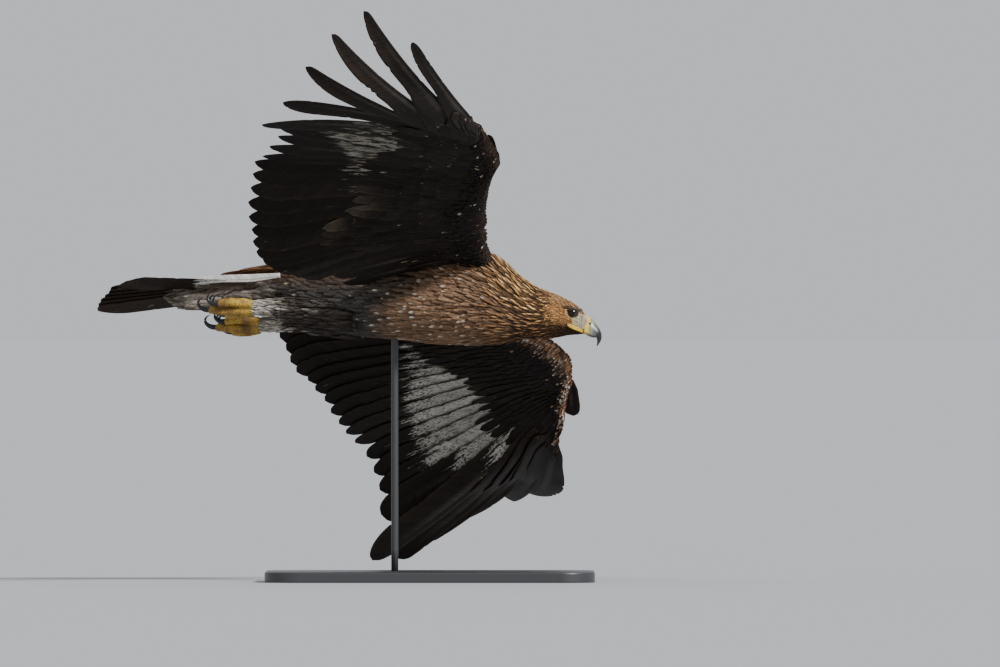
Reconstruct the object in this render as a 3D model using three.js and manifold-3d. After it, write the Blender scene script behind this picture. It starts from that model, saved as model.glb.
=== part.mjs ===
// Golden eagle in gliding flight, life size, on a plain display stand.
// Millimetres, +Z up. +X is the way the bird flies in the side view, +Y is toward its left wing.
// The bird is modelled about a point in its back half, BIRD_AT, over the middle of the stand's base.

import * as THREE from 'three';
import { mergeVertices } from 'three/addons/utils/BufferGeometryUtils.js';
import Module from 'manifold-3d';

const wasm = await Module();
wasm.setup();

const V = (x, y, z) => new THREE.Vector3(x, y, z);
const DEG = Math.PI / 180;

// Driving dimensions
const GAP = 0.3;
const BIRD_AT = V(0, 0, 478);
const HEADING = -11 * DEG;
const BANK = 24 * DEG;
const BASE = { length: 560, width: 400, height: 18, corner: 60 };
const ROD = { radius: 6, forward: -60, side: 12 };

// The body from tail root to bill: distance forward, top, bottom, half of the width
const BODY = [
  [-298, 61, -14, 36],
  [-251, 69, -22, 47],
  [-191, 78, -45, 66],
  [-121, 87, -62, 80],
  [-52, 92, -69, 88],
  [17, 93, -76, 90],
  [78, 88, -77, 84],
  [121, 70, -73, 68],
  [156, 43, -68, 52],
  [191, 21, -66, 40],
  [208, 14.5, -65, 36],
  [225, 8, -62, 34.5],
  [243, -1, -59, 30.5],
  [255, -9, -58, 25],
  [264, -18, -57, 19.5],
  [271, -25, -56.5, 15.5],
];
const TORSO_FROM = -262;
const NECK_FROM = 128;
const HEAD_FROM = 204;
const LEVEL_FROM = 120;
const HEAD_TO = 270;

// Bird's frame to the stand's frame: only the heading differs
function heading(x, y, z) {
  return V(x, y, z).applyAxisAngle(V(0, 0, 1), HEADING);
}

// Smooth curve through the rows of a table, by its first column
function along(rows, x, column) {
  const last = rows.length - 1;
  if (x <= rows[0][0]) return rows[0][column];
  if (x >= rows[last][0]) return rows[last][column];
  const slope = (a, b) => (rows[b][column] - rows[a][column]) / (rows[b][0] - rows[a][0]);
  let i = 0;
  while (x > rows[i + 1][0]) i += 1;
  const span = rows[i + 1][0] - rows[i][0];
  const t = (x - rows[i][0]) / span;
  const start = slope(Math.max(i - 1, 0), i + 1) * span;
  const end = slope(i, Math.min(i + 2, last)) * span;
  const fade = (1 - t) * (1 - t);
  return rows[i][column] * (1 + 2 * t) * fade + start * t * fade
    + rows[i + 1][column] * t * t * (3 - 2 * t) + end * t * t * (t - 1);
}

// Closed geometry from points and triangles, with its faces turned outward
function closed(points, triangles) {
  let volume = 0;
  for (const [a, b, c] of triangles) {
    volume += points[a].dot(V(0, 0, 0).crossVectors(points[b], points[c]));
  }
  const order = volume < 0 ? [0, 2, 1] : [0, 1, 2];
  const geometry = new THREE.BufferGeometry();
  geometry.setAttribute('position', new THREE.Float32BufferAttribute(points.flatMap((p) => p.toArray()), 3));
  geometry.setIndex(triangles.flatMap((t) => order.map((k) => t[k])));
  return geometry;
}

// Skin over rings of points, closed by a fan at each end
function loft(rings) {
  const n = rings[0].length;
  const points = rings.flat();
  const triangles = [];
  for (let j = 0; j < rings.length - 1; j += 1) {
    for (let k = 0; k < n; k += 1) {
      const a = j * n + k;
      const b = j * n + (k + 1) % n;
      triangles.push([a, b, b + n], [a, b + n, a + n]);
    }
  }
  for (const [ring, turn] of [[0, 1], [rings.length - 1, -1]]) {
    const centre = points.length;
    const mean = V(0, 0, 0);
    rings[ring].forEach((p) => mean.addScaledVector(p, 1 / n));
    points.push(mean);
    for (let k = 0; k < n; k += 1) {
      const a = ring * n + k;
      const b = ring * n + (k + 1) % n;
      triangles.push(turn > 0 ? [centre, b, a] : [centre, a, b]);
    }
  }
  return closed(points, triangles);
}

// One vane: rows of [place along, leading width, trailing width, edge thickness, shaft thickness]
// Both faces are split into triangles alike, so that a curved vane never crosses itself
function vane(place, outline, withShaft) {
  const m = withShaft ? 3 : 2;
  const points = [];
  for (const face of [0.5, -0.5]) {
    for (const [s, lead, trail, edge, shaft] of outline) {
      points.push(place(s, lead, edge * face));
      if (withShaft) points.push(place(s, 0, shaft * face));
      points.push(place(s, -trail, edge * face));
    }
  }
  const rows = outline.length;
  const at = (face, j, k) => (face * rows + j) * m + k;
  const triangles = [];
  const quad = (a, b, c, d) => triangles.push([a, b, c], [a, c, d]);
  for (let j = 0; j < rows - 1; j += 1) {
    for (let k = 0; k < m - 1; k += 1) {
      quad(at(0, j, k), at(0, j, k + 1), at(0, j + 1, k + 1), at(0, j + 1, k));
      triangles.push([at(1, j, k), at(1, j + 1, k + 1), at(1, j, k + 1)]);
      triangles.push([at(1, j, k), at(1, j + 1, k), at(1, j + 1, k + 1)]);
    }
    quad(at(0, j + 1, 0), at(1, j + 1, 0), at(1, j, 0), at(0, j, 0));
    quad(at(0, j, m - 1), at(1, j, m - 1), at(1, j + 1, m - 1), at(0, j + 1, m - 1));
  }
  for (let k = 0; k < m - 1; k += 1) {
    quad(at(0, 0, k + 1), at(0, 0, k), at(1, 0, k), at(1, 0, k + 1));
    quad(at(0, rows - 1, k), at(0, rows - 1, k + 1), at(1, rows - 1, k + 1), at(1, rows - 1, k));
  }
  return closed(points, triangles);
}

// Round tube along a curve, with its radius read from a table by the share of its length
function tube(path, radii, sides, steps, flat = 1) {
  const curve = new THREE.CatmullRomCurve3(path);
  const frames = curve.computeFrenetFrames(steps, false);
  const rings = [];
  for (let j = 0; j <= steps; j += 1) {
    const centre = curve.getPointAt(j / steps);
    const r = along(radii, j / steps, 1);
    const ring = [];
    for (let k = 0; k < sides; k += 1) {
      const a = (k / sides) * 2 * Math.PI;
      ring.push(centre.clone().addScaledVector(frames.normals[j], r * Math.cos(a))
        .addScaledVector(frames.binormals[j], r * flat * Math.sin(a)));
    }
    rings.push(ring);
  }
  return loft(rings);
}

function ellipsoid(centre, radii, wide, high, turn = 0) {
  const geometry = new THREE.SphereGeometry(1, wide, high);
  geometry.scale(radii.x, radii.y, radii.z);
  geometry.rotateY(turn);
  geometry.translate(centre.x, centre.y, centre.z);
  return geometry;
}

// Joining and cutting
function solid(geometry) {
  const plain = geometry.clone();
  plain.deleteAttribute('normal');
  plain.deleteAttribute('uv');
  const merged = mergeVertices(plain, 1e-4);
  return new wasm.Manifold(new wasm.Mesh({
    numProp: 3,
    vertProperties: new Float32Array(merged.attributes.position.array),
    triVerts: new Uint32Array(merged.index.array),
  }));
}

function join(geometries) {
  return geometries.map(solid).reduce((whole, piece) => whole.add(piece));
}

// The largest closed body of a solid, as a geometry without edges shorter than FINEST
const FINEST = 0.12;
function largest(whole) {
  const bodies = whole.decompose().sort((a, b) => b.volume() - a.volume());
  const mesh = bodies[0].asOriginal().simplify(FINEST).getMesh();
  const geometry = new THREE.BufferGeometry();
  geometry.setAttribute('position', new THREE.Float32BufferAttribute(mesh.vertProperties, 3));
  geometry.setIndex(Array.from(mesh.triVerts));
  return geometry;
}

// Materials
const paint = (color, roughness) => new THREE.MeshStandardMaterial({ color, roughness, metalness: 0 });
const DARK_FEATHER = paint(0x2a201a, 0.8);
const BROWN_FEATHER = paint(0x5a3e28, 0.85);
const GOLD_FEATHER = paint(0xa9773f, 0.85);
const PALE_FEATHER = paint(0xcfc8b8, 0.9);
const YELLOW_SKIN = paint(0xe0a92c, 0.6);
const CERE_SKIN = paint(0xe3d27a, 0.5);
const HORN = paint(0x3a3a3c, 0.35);
const CLAW = paint(0x141416, 0.3);
const EYE = paint(0x2b160c, 0.1);
const STAND = paint(0x26272a, 0.5);

// Body, neck and head: one banked form, parted by thin gaps
function bodyRing(x, sides, grow = 0) {
  const top = along(BODY, x, 1);
  const bottom = along(BODY, x, 2);
  const wide = along(BODY, x, 3);
  const level = THREE.MathUtils.smoothstep(x, LEVEL_FROM, HEAD_FROM);
  const bank = BANK * (1 - level);
  const reach = (top - bottom) / 2;
  const lean = Math.min(wide * Math.sin(bank), reach * 0.7);
  const high = Math.sqrt(reach * reach - lean * lean) / Math.cos(bank);
  const ring = [];
  for (let k = 0; k < sides; k += 1) {
    const a = (k / sides) * 2 * Math.PI;
    const across = (wide + grow) * Math.cos(a);
    const up = (high + grow) * Math.sin(a);
    const y = across * Math.cos(bank) + up * Math.sin(bank);
    const z = up * Math.cos(bank) - across * Math.sin(bank);
    ring.push(heading(x, y, (top + bottom) / 2 + z));
  }
  return ring;
}

function bodyLoft(from, to, steps, sides, grow = 0) {
  const rings = [];
  for (let j = 0; j <= steps; j += 1) rings.push(bodyRing(from + (to - from) * (j / steps), sides, grow));
  return loft(rings);
}

const BODY_SIDES = 18;
const TORSO_STEPS = 11;
const NECK_STEPS = 5;
const torso = bodyLoft(TORSO_FROM + GAP, NECK_FROM - GAP, TORSO_STEPS, BODY_SIDES);
const neck = bodyLoft(NECK_FROM, HEAD_FROM - GAP, NECK_STEPS, BODY_SIDES);
const bodyClearance = join([
  bodyLoft(TORSO_FROM + GAP, NECK_FROM - GAP, TORSO_STEPS, BODY_SIDES, GAP + 0.2),
  bodyLoft(NECK_FROM, HEAD_FROM - GAP, NECK_STEPS, BODY_SIDES, GAP + 0.2),
  ...[TORSO_FROM, NECK_FROM, HEAD_FROM].map((x) => bodyLoft(x - 1.5, x + 1.5, 1, BODY_SIDES, GAP + 0.2)),
]);

// Head details, in the bird's frame: distance forward, side, height
const EYE_RADIUS = 10;
const EYE_AT = { forward: 250, side: 19.3, height: -20.5 };
const BROW = { forward: 253, side: 23.5, height: -12.5, reach: 13, tilt: 30 * DEG };
const GAPE = [[243, -41], [257, -48], [272, -55]];

function eyeBall(side, grow) {
  const ball = ellipsoid(V(0, 0, 0), V(EYE_RADIUS + grow, EYE_RADIUS + grow, EYE_RADIUS + grow), 12, 8);
  const at = heading(EYE_AT.forward, EYE_AT.side * side, EYE_AT.height);
  ball.translate(at.x, at.y, at.z);
  return ball;
}

function browRidge(side) {
  const ridge = ellipsoid(V(0, 0, 0), V(BROW.reach, 5, 3.4), 8, 6, BROW.tilt);
  const at = heading(BROW.forward, BROW.side * side, BROW.height);
  ridge.rotateZ(HEADING - side * 18 * DEG);
  ridge.translate(at.x, at.y, at.z);
  return ridge;
}

// Rim of the lids: a ring that stands round the eye
function lidRing(side) {
  const ring = new THREE.TorusGeometry(9.2, 1.6, 4, 12);
  ring.rotateX(Math.PI / 2);
  ring.rotateZ(HEADING + side * 12 * DEG);
  const at = heading(EYE_AT.forward + 1, (EYE_AT.side + 5.6) * side, EYE_AT.height);
  ring.translate(at.x, at.y, at.z);
  return ring;
}

// Line of the mouth behind the bill, cut into each cheek
function gapeCut(side) {
  const rings = GAPE.map(([x, z]) => {
    const out = along(BODY, x, 3) * 0.98;
    return [[out - 3.5, 0.5], [out + 6, 0.5], [out + 6, -0.5], [out - 3.5, -0.5]]
      .map(([y, h]) => heading(x, y * side, z + h));
  });
  return loft(rings);
}

function headSolid() {
  const skull = join([bodyLoft(HEAD_FROM, HEAD_TO, 7, BODY_SIDES), browRidge(1), browRidge(-1), lidRing(1), lidRing(-1)]);
  return [1, -1].reduce((whole, side) => whole
    .subtract(solid(eyeBall(side, GAP)))
    .subtract(solid(gapeCut(side))), skull);
}

// Bill: rows of [culmen forward, culmen height, edge forward, edge height, half of the width]
const UPPER_BILL = [
  [HEAD_TO + GAP, -24.5, HEAD_TO + GAP, -55, 15],
  [276, -28, 275, -56.5, 14],
  [282, -32.5, 279.5, -58.5, 12.5],
  [289, -41.5, 284, -60.5, 10.5],
  [294.5, -50, 288, -62, 8.5],
  [297, -58, 289.5, -64.5, 6.2],
  [296.5, -66, 289.8, -69, 4],
  [293, -73, 289.3, -73.6, 2.2],
  [289, -77.5, 288, -77, 0.5],
];
const CERE_ROWS = 3;

function billRing([x, z, edgeX, edgeZ, wide]) {
  const profile = [[0, 0], [0.55, 0.1], [0.92, 0.4], [1, 0.72], [0.9, 1], [0.35, 1.02]];
  const side = (sign) => profile.slice(1).map(([w, down]) => [w * wide * sign, down]);
  const round = [[0, 0], ...side(1), [0, 0.97], ...side(-1).reverse()];
  return round.map(([y, down]) => heading(x + (edgeX - x) * down, y, z + (edgeZ - z) * down));
}

function nostril(side) {
  const hole = ellipsoid(V(0, 0, 0), V(2.4, 2.6, 1.5), 8, 6, 50 * DEG);
  const at = heading(278.5, 11.6 * side, -39.5);
  hole.translate(at.x, at.y, at.z);
  return solid(hole);
}

function cereSolid() {
  const whole = solid(loft(UPPER_BILL.slice(0, CERE_ROWS).map(billRing)));
  return whole.subtract(nostril(1)).subtract(nostril(-1));
}

function hookSolid() {
  const start = UPPER_BILL[CERE_ROWS - 1];
  const parted = [start[0] + GAP, start[1] - GAP * 0.8, start[2] + GAP, start[3], start[4]];
  return solid(loft([parted, ...UPPER_BILL.slice(CERE_ROWS)].map(billRing)));
}

// Lower mandible: rows of [forward, top, bottom, half of the width]
const LOWER_BILL = [
  [HEAD_TO + GAP, -55.6, -58.2, 12.5],
  [275, -57.2, -61, 11.4],
  [281, -60.2, -62.6, 9],
  [285, -62.2, -63.6, 6],
];

function mandible() {
  return loft(LOWER_BILL.map(([x, top, bottom, wide]) => {
    const ring = [[-1, 0], [-0.6, 0.3], [0, 0.35], [0.6, 0.3], [1, 0], [0.75, 0.75], [0, 1], [-0.75, 0.75]];
    return ring.map(([across, down]) => heading(x, across * wide, top + (bottom - top) * down));
  }));
}

// Wings. Feathers are numbered outward: 0 to 11 are secondaries, 12 to 21 primaries,
// and the negative numbers are the tertials along the humerus.
// A fan's rows are [feather, aim up, aim outward, length, bow, leading edge before the root, turn],
// where the turn is how far the tip's upper side is twisted to face away from the right
const TERTIALS = 3;
const LAST_SECONDARY = 11;
const LAST_PRIMARY = 21;
const FIRST_FINGER = 15;
const RIGHT_WING = {
  side: -1,
  dip: V(0.1, -0.45, -0.89),
  bones: [V(88, -40, 68), V(45, -214, 120), V(102, -387, 229), V(80, -520, 289)],
  fan: [
    [-4, -13, -2, 230, 0, 18, 0],
    [-2, -13, 8, 240, -4, 31, 0],
    [0, -13, 10, 290, -6, 51, 0],
    [3, -13, 7.5, 356, -8, 36, 0],
    [6, -8.6, 6, 383, -8, 23, 0],
    [9, -2.1, 8, 398, -8, 14, 0],
    [11, 1.6, 11, 401, -6, 13, 0],
    [12, 1.7, 14, 398, -4, 15, 0],
    [14, 5.1, 25, 393, 0, 18, 0],
    [15, 6.7, 32, 411, -6, 16, 0],
    [16, 5.6, 38, 472, -18, 13, 0],
    [17, 11.1, 48, 511, -14, 11, 0.1],
    [18, 22, 55, 551, 20, 9, 0.2],
    [19, 34, 59, 580, 34, 8, 0.3],
    [20, 46, 60, 546, 32, 7, 0.4],
    [21, 52.3, 65, 421, 12, 6, 0.6],
  ],
  alula: 2 * DEG,
  outerLead: -0.1,
};
const LEFT_WING = {
  side: 1,
  dip: V(0.1, -0.4, -0.91),
  bones: [V(100, 60, 14), V(98, 232, -42), V(226, 385, -145), V(216, 503, -238)],
  fan: [
    [-4, -2, 0, 230, 0, 20, 0],
    [-2, 0, 1, 260, -4, 45, 0],
    [0, -0.4, 2, 351, -8, 52, 0],
    [3, -5.7, 3, 375, -8, 50, 0],
    [6, -9.3, 6.5, 368, -8, 58, 0],
    [9, -14.5, 13, 376, -8, 52, 0],
    [11, -17, 19, 384, -6, 28, 0],
    [12, -19.7, 24, 392, -4, 13, 0],
    [14, -27, 30, 404, 0, 8, 0],
    [15, -31.8, 32, 430, 6, 8, 0.1],
    [16, -38.9, 33, 500, 10, 7, 0.4],
    [17, -41.7, 45, 533, 14, 7, 0.7],
    [18, -41.9, 56, 554, 20, 7, 0.9],
    [19, -42.6, 66, 563, 24, 7, 1],
    [20, -53.6, 74.4, 537, 26, 7, 1],
    [21, -71.2, 76, 438, 20, 7, 1],
  ],
  alula: 9 * DEG,
  outerLead: 0.9,
};

// Root of a feather on the bones of the arm and hand
function featherRoot(wing, i) {
  const [shoulder, elbow, wrist, hand] = wing.bones;
  if (i < 0) return elbow.clone().lerp(shoulder, -i / 4);
  if (i < 11.8) return wrist.clone().lerp(elbow, (11.8 - i) / 11.8);
  return wrist.clone().lerp(hand, Math.min((i - 11.8) / 9.2, 1));
}

function featherAim(wing, i) {
  const up = along(wing.fan, i, 1) * DEG;
  const out = along(wing.fan, i, 2) * DEG;
  return V(-Math.cos(out) * Math.cos(up), wing.side * Math.sin(out), Math.cos(out) * Math.sin(up));
}

// Point of the wing's middle surface: feather number, which may lie between two, and distance out
function surfacePoint(wing, i, d) {
  const s = d / along(wing.fan, i, 3);
  const sag = along(wing.fan, i, 4) * 4 * s * (1 - s);
  return featherRoot(wing, i).addScaledVector(featherAim(wing, i), d).addScaledVector(wing.dip, sag);
}

function surfaceUpper(wing, i, d) {
  const far = Math.max(d, 120);
  const k = THREE.MathUtils.clamp(i, -3.4, LAST_PRIMARY - 0.6);
  const spread = surfacePoint(wing, k + 0.6, far).sub(surfacePoint(wing, k - 0.6, far));
  const out = surfacePoint(wing, k, far + 5).sub(surfacePoint(wing, k, far - 5));
  const upper = V(0, 0, 0).crossVectors(spread, out).normalize();
  return upper.y + upper.z < 0 ? upper.negate() : upper;
}

// Place on a feather: distance along it, toward its leading side, and up. Vanes follow the wing's
// surface and climb one layer for each feather that they pass, so neighbours never cross.
// Past its middle a finger leaves the surface, flat and twisted about its own shaft.
const LAYER = 2.2;
const LOUVRE = 0.1;
function featherPlace(wing, i) {
  const aim = featherAim(wing, i);
  const length = along(wing.fan, i, 3);
  const flatness = THREE.MathUtils.smoothstep(i, FIRST_FINGER, FIRST_FINGER + 2);
  return (d, a, w) => {
    const s = d / length;
    const upper = surfaceUpper(wing, i, d);
    const leading = V(0, 0, 0).crossVectors(aim, upper).multiplyScalar(wing.side).normalize();
    const low = surfacePoint(wing, Math.max(i - 0.5, -4), d);
    const spacing = Math.abs(surfacePoint(wing, Math.min(i + 0.5, LAST_PRIMARY), d).sub(low).dot(leading));
    const step = a / Math.max(spacing * (i + 0.5 > LAST_PRIMARY ? 2 : 1), 9);
    const k = THREE.MathUtils.clamp(i + step, -4, LAST_PRIMARY);
    const over = (i + step - k) * (a / (step || 1));
    const bent = surfacePoint(wing, k, d).addScaledVector(leading, over)
      .addScaledVector(surfaceUpper(wing, k, d), w + LAYER * step);
    const loose = flatness * THREE.MathUtils.smoothstep(s, 0.36, 0.6);
    if (loose === 0) return bent;
    const away = V(0, 1, 0).addScaledVector(aim, -aim.y).normalize();
    const turn = Math.atan2(V(0, 0, 0).crossVectors(upper, away).dot(aim), upper.dot(away));
    const twist = turn * along(wing.fan, i, 6) * loose;
    const flat = surfacePoint(wing, i, d).addScaledVector(leading.applyAxisAngle(aim, twist), a)
      .addScaledVector(upper.applyAxisAngle(aim, twist), w + LOUVRE * a);
    return bent.lerp(flat, loose);
  };
}

// Flight feather: broad and overlapping, or narrowed past its middle into a finger
function flightFeather(wing, i) {
  const place = featherPlace(wing, i);
  const length = along(wing.fan, i, 3);
  const finger = THREE.MathUtils.smoothstep(i, 15, 18);
  const outer = THREE.MathUtils.smoothstep(i, LAST_PRIMARY - 1, LAST_PRIMARY);
  const lead = (21 - 3 * finger) * (1 + wing.outerLead * outer);
  const trail = (34 + 2 * finger) * (1 - 0.25 * outer);
  const leadNeck = 1 - 0.6 * finger;
  const trailNeck = 1 - 0.36 * finger;
  const outline = [
    [0.023, 4, 5, 0.8, 1.2],
    [0.2, lead * 0.75, trail * 0.7, 0.6, 1.1],
    [0.42, lead, trail, 0.6, 1.3],
    [0.62, lead * leadNeck, trail * trailNeck, 0.6, 1.3],
    [0.88, lead * 0.8 * leadNeck, trail * 0.84 * trailNeck, 0.6, 1.1],
    [1, 5, 7, 0.5, 0.6],
  ];
  return vane((s, a, w) => place(s * length, a, w), outline, i > FIRST_FINGER);
}

// Rows of coverts lie over the roots of the flight feathers, above and below
const COVERT_TIERS = [
  { from: -2.5, step: 1.7, root: 6, share: 0.37, half: 20, lift: 6.2 },
  { from: -2, step: 2.5, root: 3, share: 0.22, half: 24, lift: 11.5 },
  { from: -2.5, step: 1.7, root: 6, share: 0.35, half: 20, lift: -6.6 },
  { from: -2, step: 2.5, root: 3, share: 0.2, half: 24, lift: -12 },
];

function covertFeather(wing, tier, i) {
  const place = featherPlace(wing, i);
  const length = Math.min(along(wing.fan, i, 3), 440) * tier.share - tier.root;
  const { half } = tier;
  const lead = Math.min(half, 7 + (LAST_PRIMARY - i) * 8);
  const outline = [[0, Math.min(lead, 7), 7, 0.8], [0.6, lead, half, 0.7], [1, Math.min(lead, 6), 6, 0.6]];
  return vane((s, a, w) => place(tier.root + s * length, a, w + tier.lift), outline, false);
}

// Arm and hand: a streamlined section from the leading edge to past the feather roots
function wingFlesh(wing) {
  const [, elbow, wrist, hand] = wing.bones;
  const rings = [];
  for (const i of [-4, -3, -2, -1, 0, 2, 4, 6, 8, 10, 11.5, 13, 15, 17, 19, 21]) {
    const place = featherPlace(wing, i);
    const root = featherRoot(wing, i);
    const bone = (i < 11.5 ? wrist.clone().sub(elbow) : hand.clone().sub(wrist)).normalize();
    const aim = featherAim(wing, i);
    const ahead = aim.clone().negate().addScaledVector(bone, aim.dot(bone)).normalize();
    const upper = surfaceUpper(wing, i, 0);
    const front = along(wing.fan, i, 5);
    const thick = along([[-4, 40], [0, 30], [6, 26], [11.5, 26], [16, 19], [21, 12]], i, 1);
    const back = 46;
    const ring = [];
    for (const [share, rise] of [[1, 0], [0.8, 0.3], [0.35, 0.5]]) {
      ring.push(root.clone().addScaledVector(ahead, front * share).addScaledVector(upper, thick * rise));
    }
    for (const [share, rise] of [[0.1, 0.48], [0.55, 0.3], [1, 0.07], [1, -0.07], [0.55, -0.3], [0.1, -0.44]]) {
      ring.push(place(back * share, 0, thick * rise));
    }
    for (const [share, rise] of [[0.35, -0.44], [0.8, -0.26]]) {
      ring.push(root.clone().addScaledVector(ahead, front * share).addScaledVector(upper, thick * rise));
    }
    rings.push(ring);
  }
  return loft(rings);
}

// Thumb feathers at the wrist, along the edge of the hand
function alulaFeathers(wing) {
  const [, , wrist, hand] = wing.bones;
  const bone = hand.clone().sub(wrist).normalize();
  const upper = surfaceUpper(wing, 14, 0);
  const front = V(0, 0, 0).crossVectors(bone, upper);
  if (front.x < 0) front.negate();
  return [0, 1, 2].map((n) => {
    const aim = bone.clone().applyAxisAngle(upper, -wing.side * (wing.alula - n * 4 * DEG) * (front.x > 0 ? 1 : -1));
    const root = wrist.clone().addScaledVector(front, 9 - n * 3).addScaledVector(bone, -6);
    const leading = V(0, 0, 0).crossVectors(aim, upper).multiplyScalar(wing.side);
    const length = 96 - 18 * n;
    const outline = [[0, 6, 6, 1.6], [0.4, 9, 12, 1.1], [0.8, 8, 11, 0.9], [1, 2, 3, 0.6]];
    return vane((s, a, w) => root.clone().addScaledVector(aim, s * length)
      .addScaledVector(leading, a).addScaledVector(upper, w + 12 + n * 1.6), outline, false);
  });
}

function wingSolid(wing) {
  const pieces = [wingFlesh(wing), ...alulaFeathers(wing)];
  for (let i = -TERTIALS; i <= LAST_PRIMARY; i += 1) pieces.push(flightFeather(wing, i));
  for (const tier of COVERT_TIERS) {
    for (let i = tier.from; i <= LAST_PRIMARY; i += tier.step) pieces.push(covertFeather(wing, tier, i));
  }
  return join(pieces).subtract(bodyClearance);
}

// Tail: a core of coverts, and twelve feathers fanned from it with the outer ones below
const TAIL = {
  root: V(TORSO_FROM + 8, 0, 33),
  droop: 2.6 * DEG,
  bank: 24 * DEG,
  feathers: 12,
  length: 298,
  skew: 8.6,
  rootStep: 0.5,
  spread: 1.9 * DEG,
  layer: 0.95,
};
const TAIL_CORE = [
  [TORSO_FROM - GAP, 66.5, -19, 44],
  [-298, 61, -14, 36],
  [-335, 52, -17, 31],
  [-373, 42, -18, 25],
  [-412, 32, -16, 17],
  [-446, 21, -6, 5],
];

function tailPlace(turn) {
  const back = V(-Math.cos(TAIL.droop), 0, -Math.sin(TAIL.droop));
  const left = V(0, Math.cos(TAIL.bank), -Math.sin(TAIL.bank));
  const upper = V(0, 0, 0).crossVectors(left, back).normalize();
  const aim = back.clone().applyAxisAngle(upper, turn);
  const side = left.clone().applyAxisAngle(upper, turn);
  return (rootSide, d, a, w) => {
    const p = TAIL.root.clone().addScaledVector(left, rootSide)
      .addScaledVector(aim, d).addScaledVector(side, a).addScaledVector(upper, w);
    return heading(p.x, p.y, p.z);
  };
}

// Rank of a feather of a row below the middle one, which lies on top: each has a layer of its own
function layerBelow(k) {
  return 2 * Math.abs(k) - (k > 0 ? 1 : 0);
}

function tailFeather(i) {
  const k = i - (TAIL.feathers - 1) / 2;
  const place = tailPlace(-k * TAIL.spread);
  const length = TAIL.length + TAIL.skew * k;
  const outline = [
    [0.1, 5, 5, 0.7],
    [0.34, 19, 20, 0.6],
    [0.9, 22, 23, 0.6],
    [1, 8, 9, 0.5],
  ];
  return vane((s, a, w) => place(k * TAIL.rootStep, s * length, a, w - layerBelow(k) * TAIL.layer), outline, false);
}

function tailCovert(n, count, length, reach, lift) {
  const k = n - (count - 1) / 2;
  const place = tailPlace(-k * 1.6 * DEG);
  const outline = [[0, 6, 6, 1], [0.6, 15, 15, 0.8], [1, 4, 4, 0.6]];
  const long = length - k * k * 4;
  const layer = layerBelow(k) * 1.2 * Math.sign(lift);
  return vane((s, a, w) => place(k * 8, reach + s * long, a, w + lift * (1 - 0.4 * s) - layer), outline, false);
}

function tailSolid() {
  const rings = [];
  for (let j = 0; j <= 5; j += 1) {
    const x = TAIL_CORE[0][0] + (TAIL_CORE.at(-1)[0] - TAIL_CORE[0][0]) * (j / 5);
    const [top, bottom, wide] = [1, 2, 3].map((c) => along([...TAIL_CORE].reverse(), x, c));
    const ring = [];
    for (let k = 0; k < 12; k += 1) {
      const a = (k / 12) * 2 * Math.PI;
      const across = wide * Math.cos(a);
      const reach = (top - bottom) / 2;
      const lean = Math.min(wide * Math.sin(BANK), reach * 0.7);
      const up = (Math.sqrt(reach * reach - lean * lean) / Math.cos(BANK)) * Math.sin(a);
      ring.push(heading(x, across * Math.cos(BANK) + up * Math.sin(BANK),
        (top + bottom) / 2 + up * Math.cos(BANK) - across * Math.sin(BANK)));
    }
    rings.push(ring);
  }
  const pieces = [loft(rings)];
  for (let i = 0; i < TAIL.feathers; i += 1) pieces.push(tailFeather(i));
  for (let n = 0; n < 3; n += 1) pieces.push(tailCovert(n, 3, 150, 60, 15));
  for (let n = 0; n < 3; n += 1) pieces.push(tailCovert(n, 3, 126, 60, -38));
  return join(pieces);
}

// Legs trail under the tail. Rows are [forward, side, height, radius] in the bird's frame
const LEGS = {
  right: [[-120, -34, -22, 34], [-175, -40, -18, 27], [-222, -46, -15, 20], [-262, -51, -13, 15], [-296, -54, -12, 13]],
  left: [[-120, 30, -34, 34], [-175, 22, -33, 26], [-222, 12, -34, 19], [-262, 5, -38.5, 14.5], [-296, 4, -41.5, 12.5]],
};
const TOES = [
  { from: [1, -8, 6], mid: [34, -17, 9], to: [58, -20, 6], curl: 0.9, claw: 26 },
  { from: [1, -4, -4], mid: [42, -8, -6], to: [76, -8, -4], curl: 0.7, claw: 32 },
  { from: [1, 7, 5], mid: [34, 14, 8], to: [60, 16, 4], curl: 0.8, claw: 28 },
  { from: [1, 4, -7], mid: [26, 5, -12], to: [50, 4.5, -12], curl: 1, claw: 38 },
];

function legSolid(side) {
  const rows = LEGS[side];
  const path = rows.map(([x, y, z]) => heading(x, y, z));
  const radii = rows.map((row, n) => [n / (rows.length - 1), row[3]]);
  const ahead = heading(1, 0, 0);
  return solid(tube(path, radii, 12, 6)).subtract(bodyClearance)
    .trimByPlane(ahead.toArray(), path.at(-1).dot(ahead));
}

function toePath(side, toe) {
  const [x, y, z] = LEGS[side].at(-1);
  return [toe.from, toe.mid, toe.to].map(([back, across, up]) => heading(x - back, y + across, z + up));
}

function footSolid(side) {
  const [x, y, z] = LEGS[side].at(-1);
  const palm = ellipsoid(V(0, 0, 0), V(17, 14, 13), 10, 6);
  const at = heading(x - 17.5, y, z);
  palm.translate(at.x, at.y, at.z);
  const toes = TOES.map((toe) => tube(toePath(side, toe), [[0, 8.6], [0.3, 7.6], [0.5, 8.2], [0.75, 7], [1, 6.2]], 6, 4));
  const ahead = heading(1, 0, 0);
  const front = heading(x - 1, y, z).dot(ahead);
  return join([palm, ...toes]).trimByPlane(ahead.negate().toArray(), -front);
}

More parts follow.
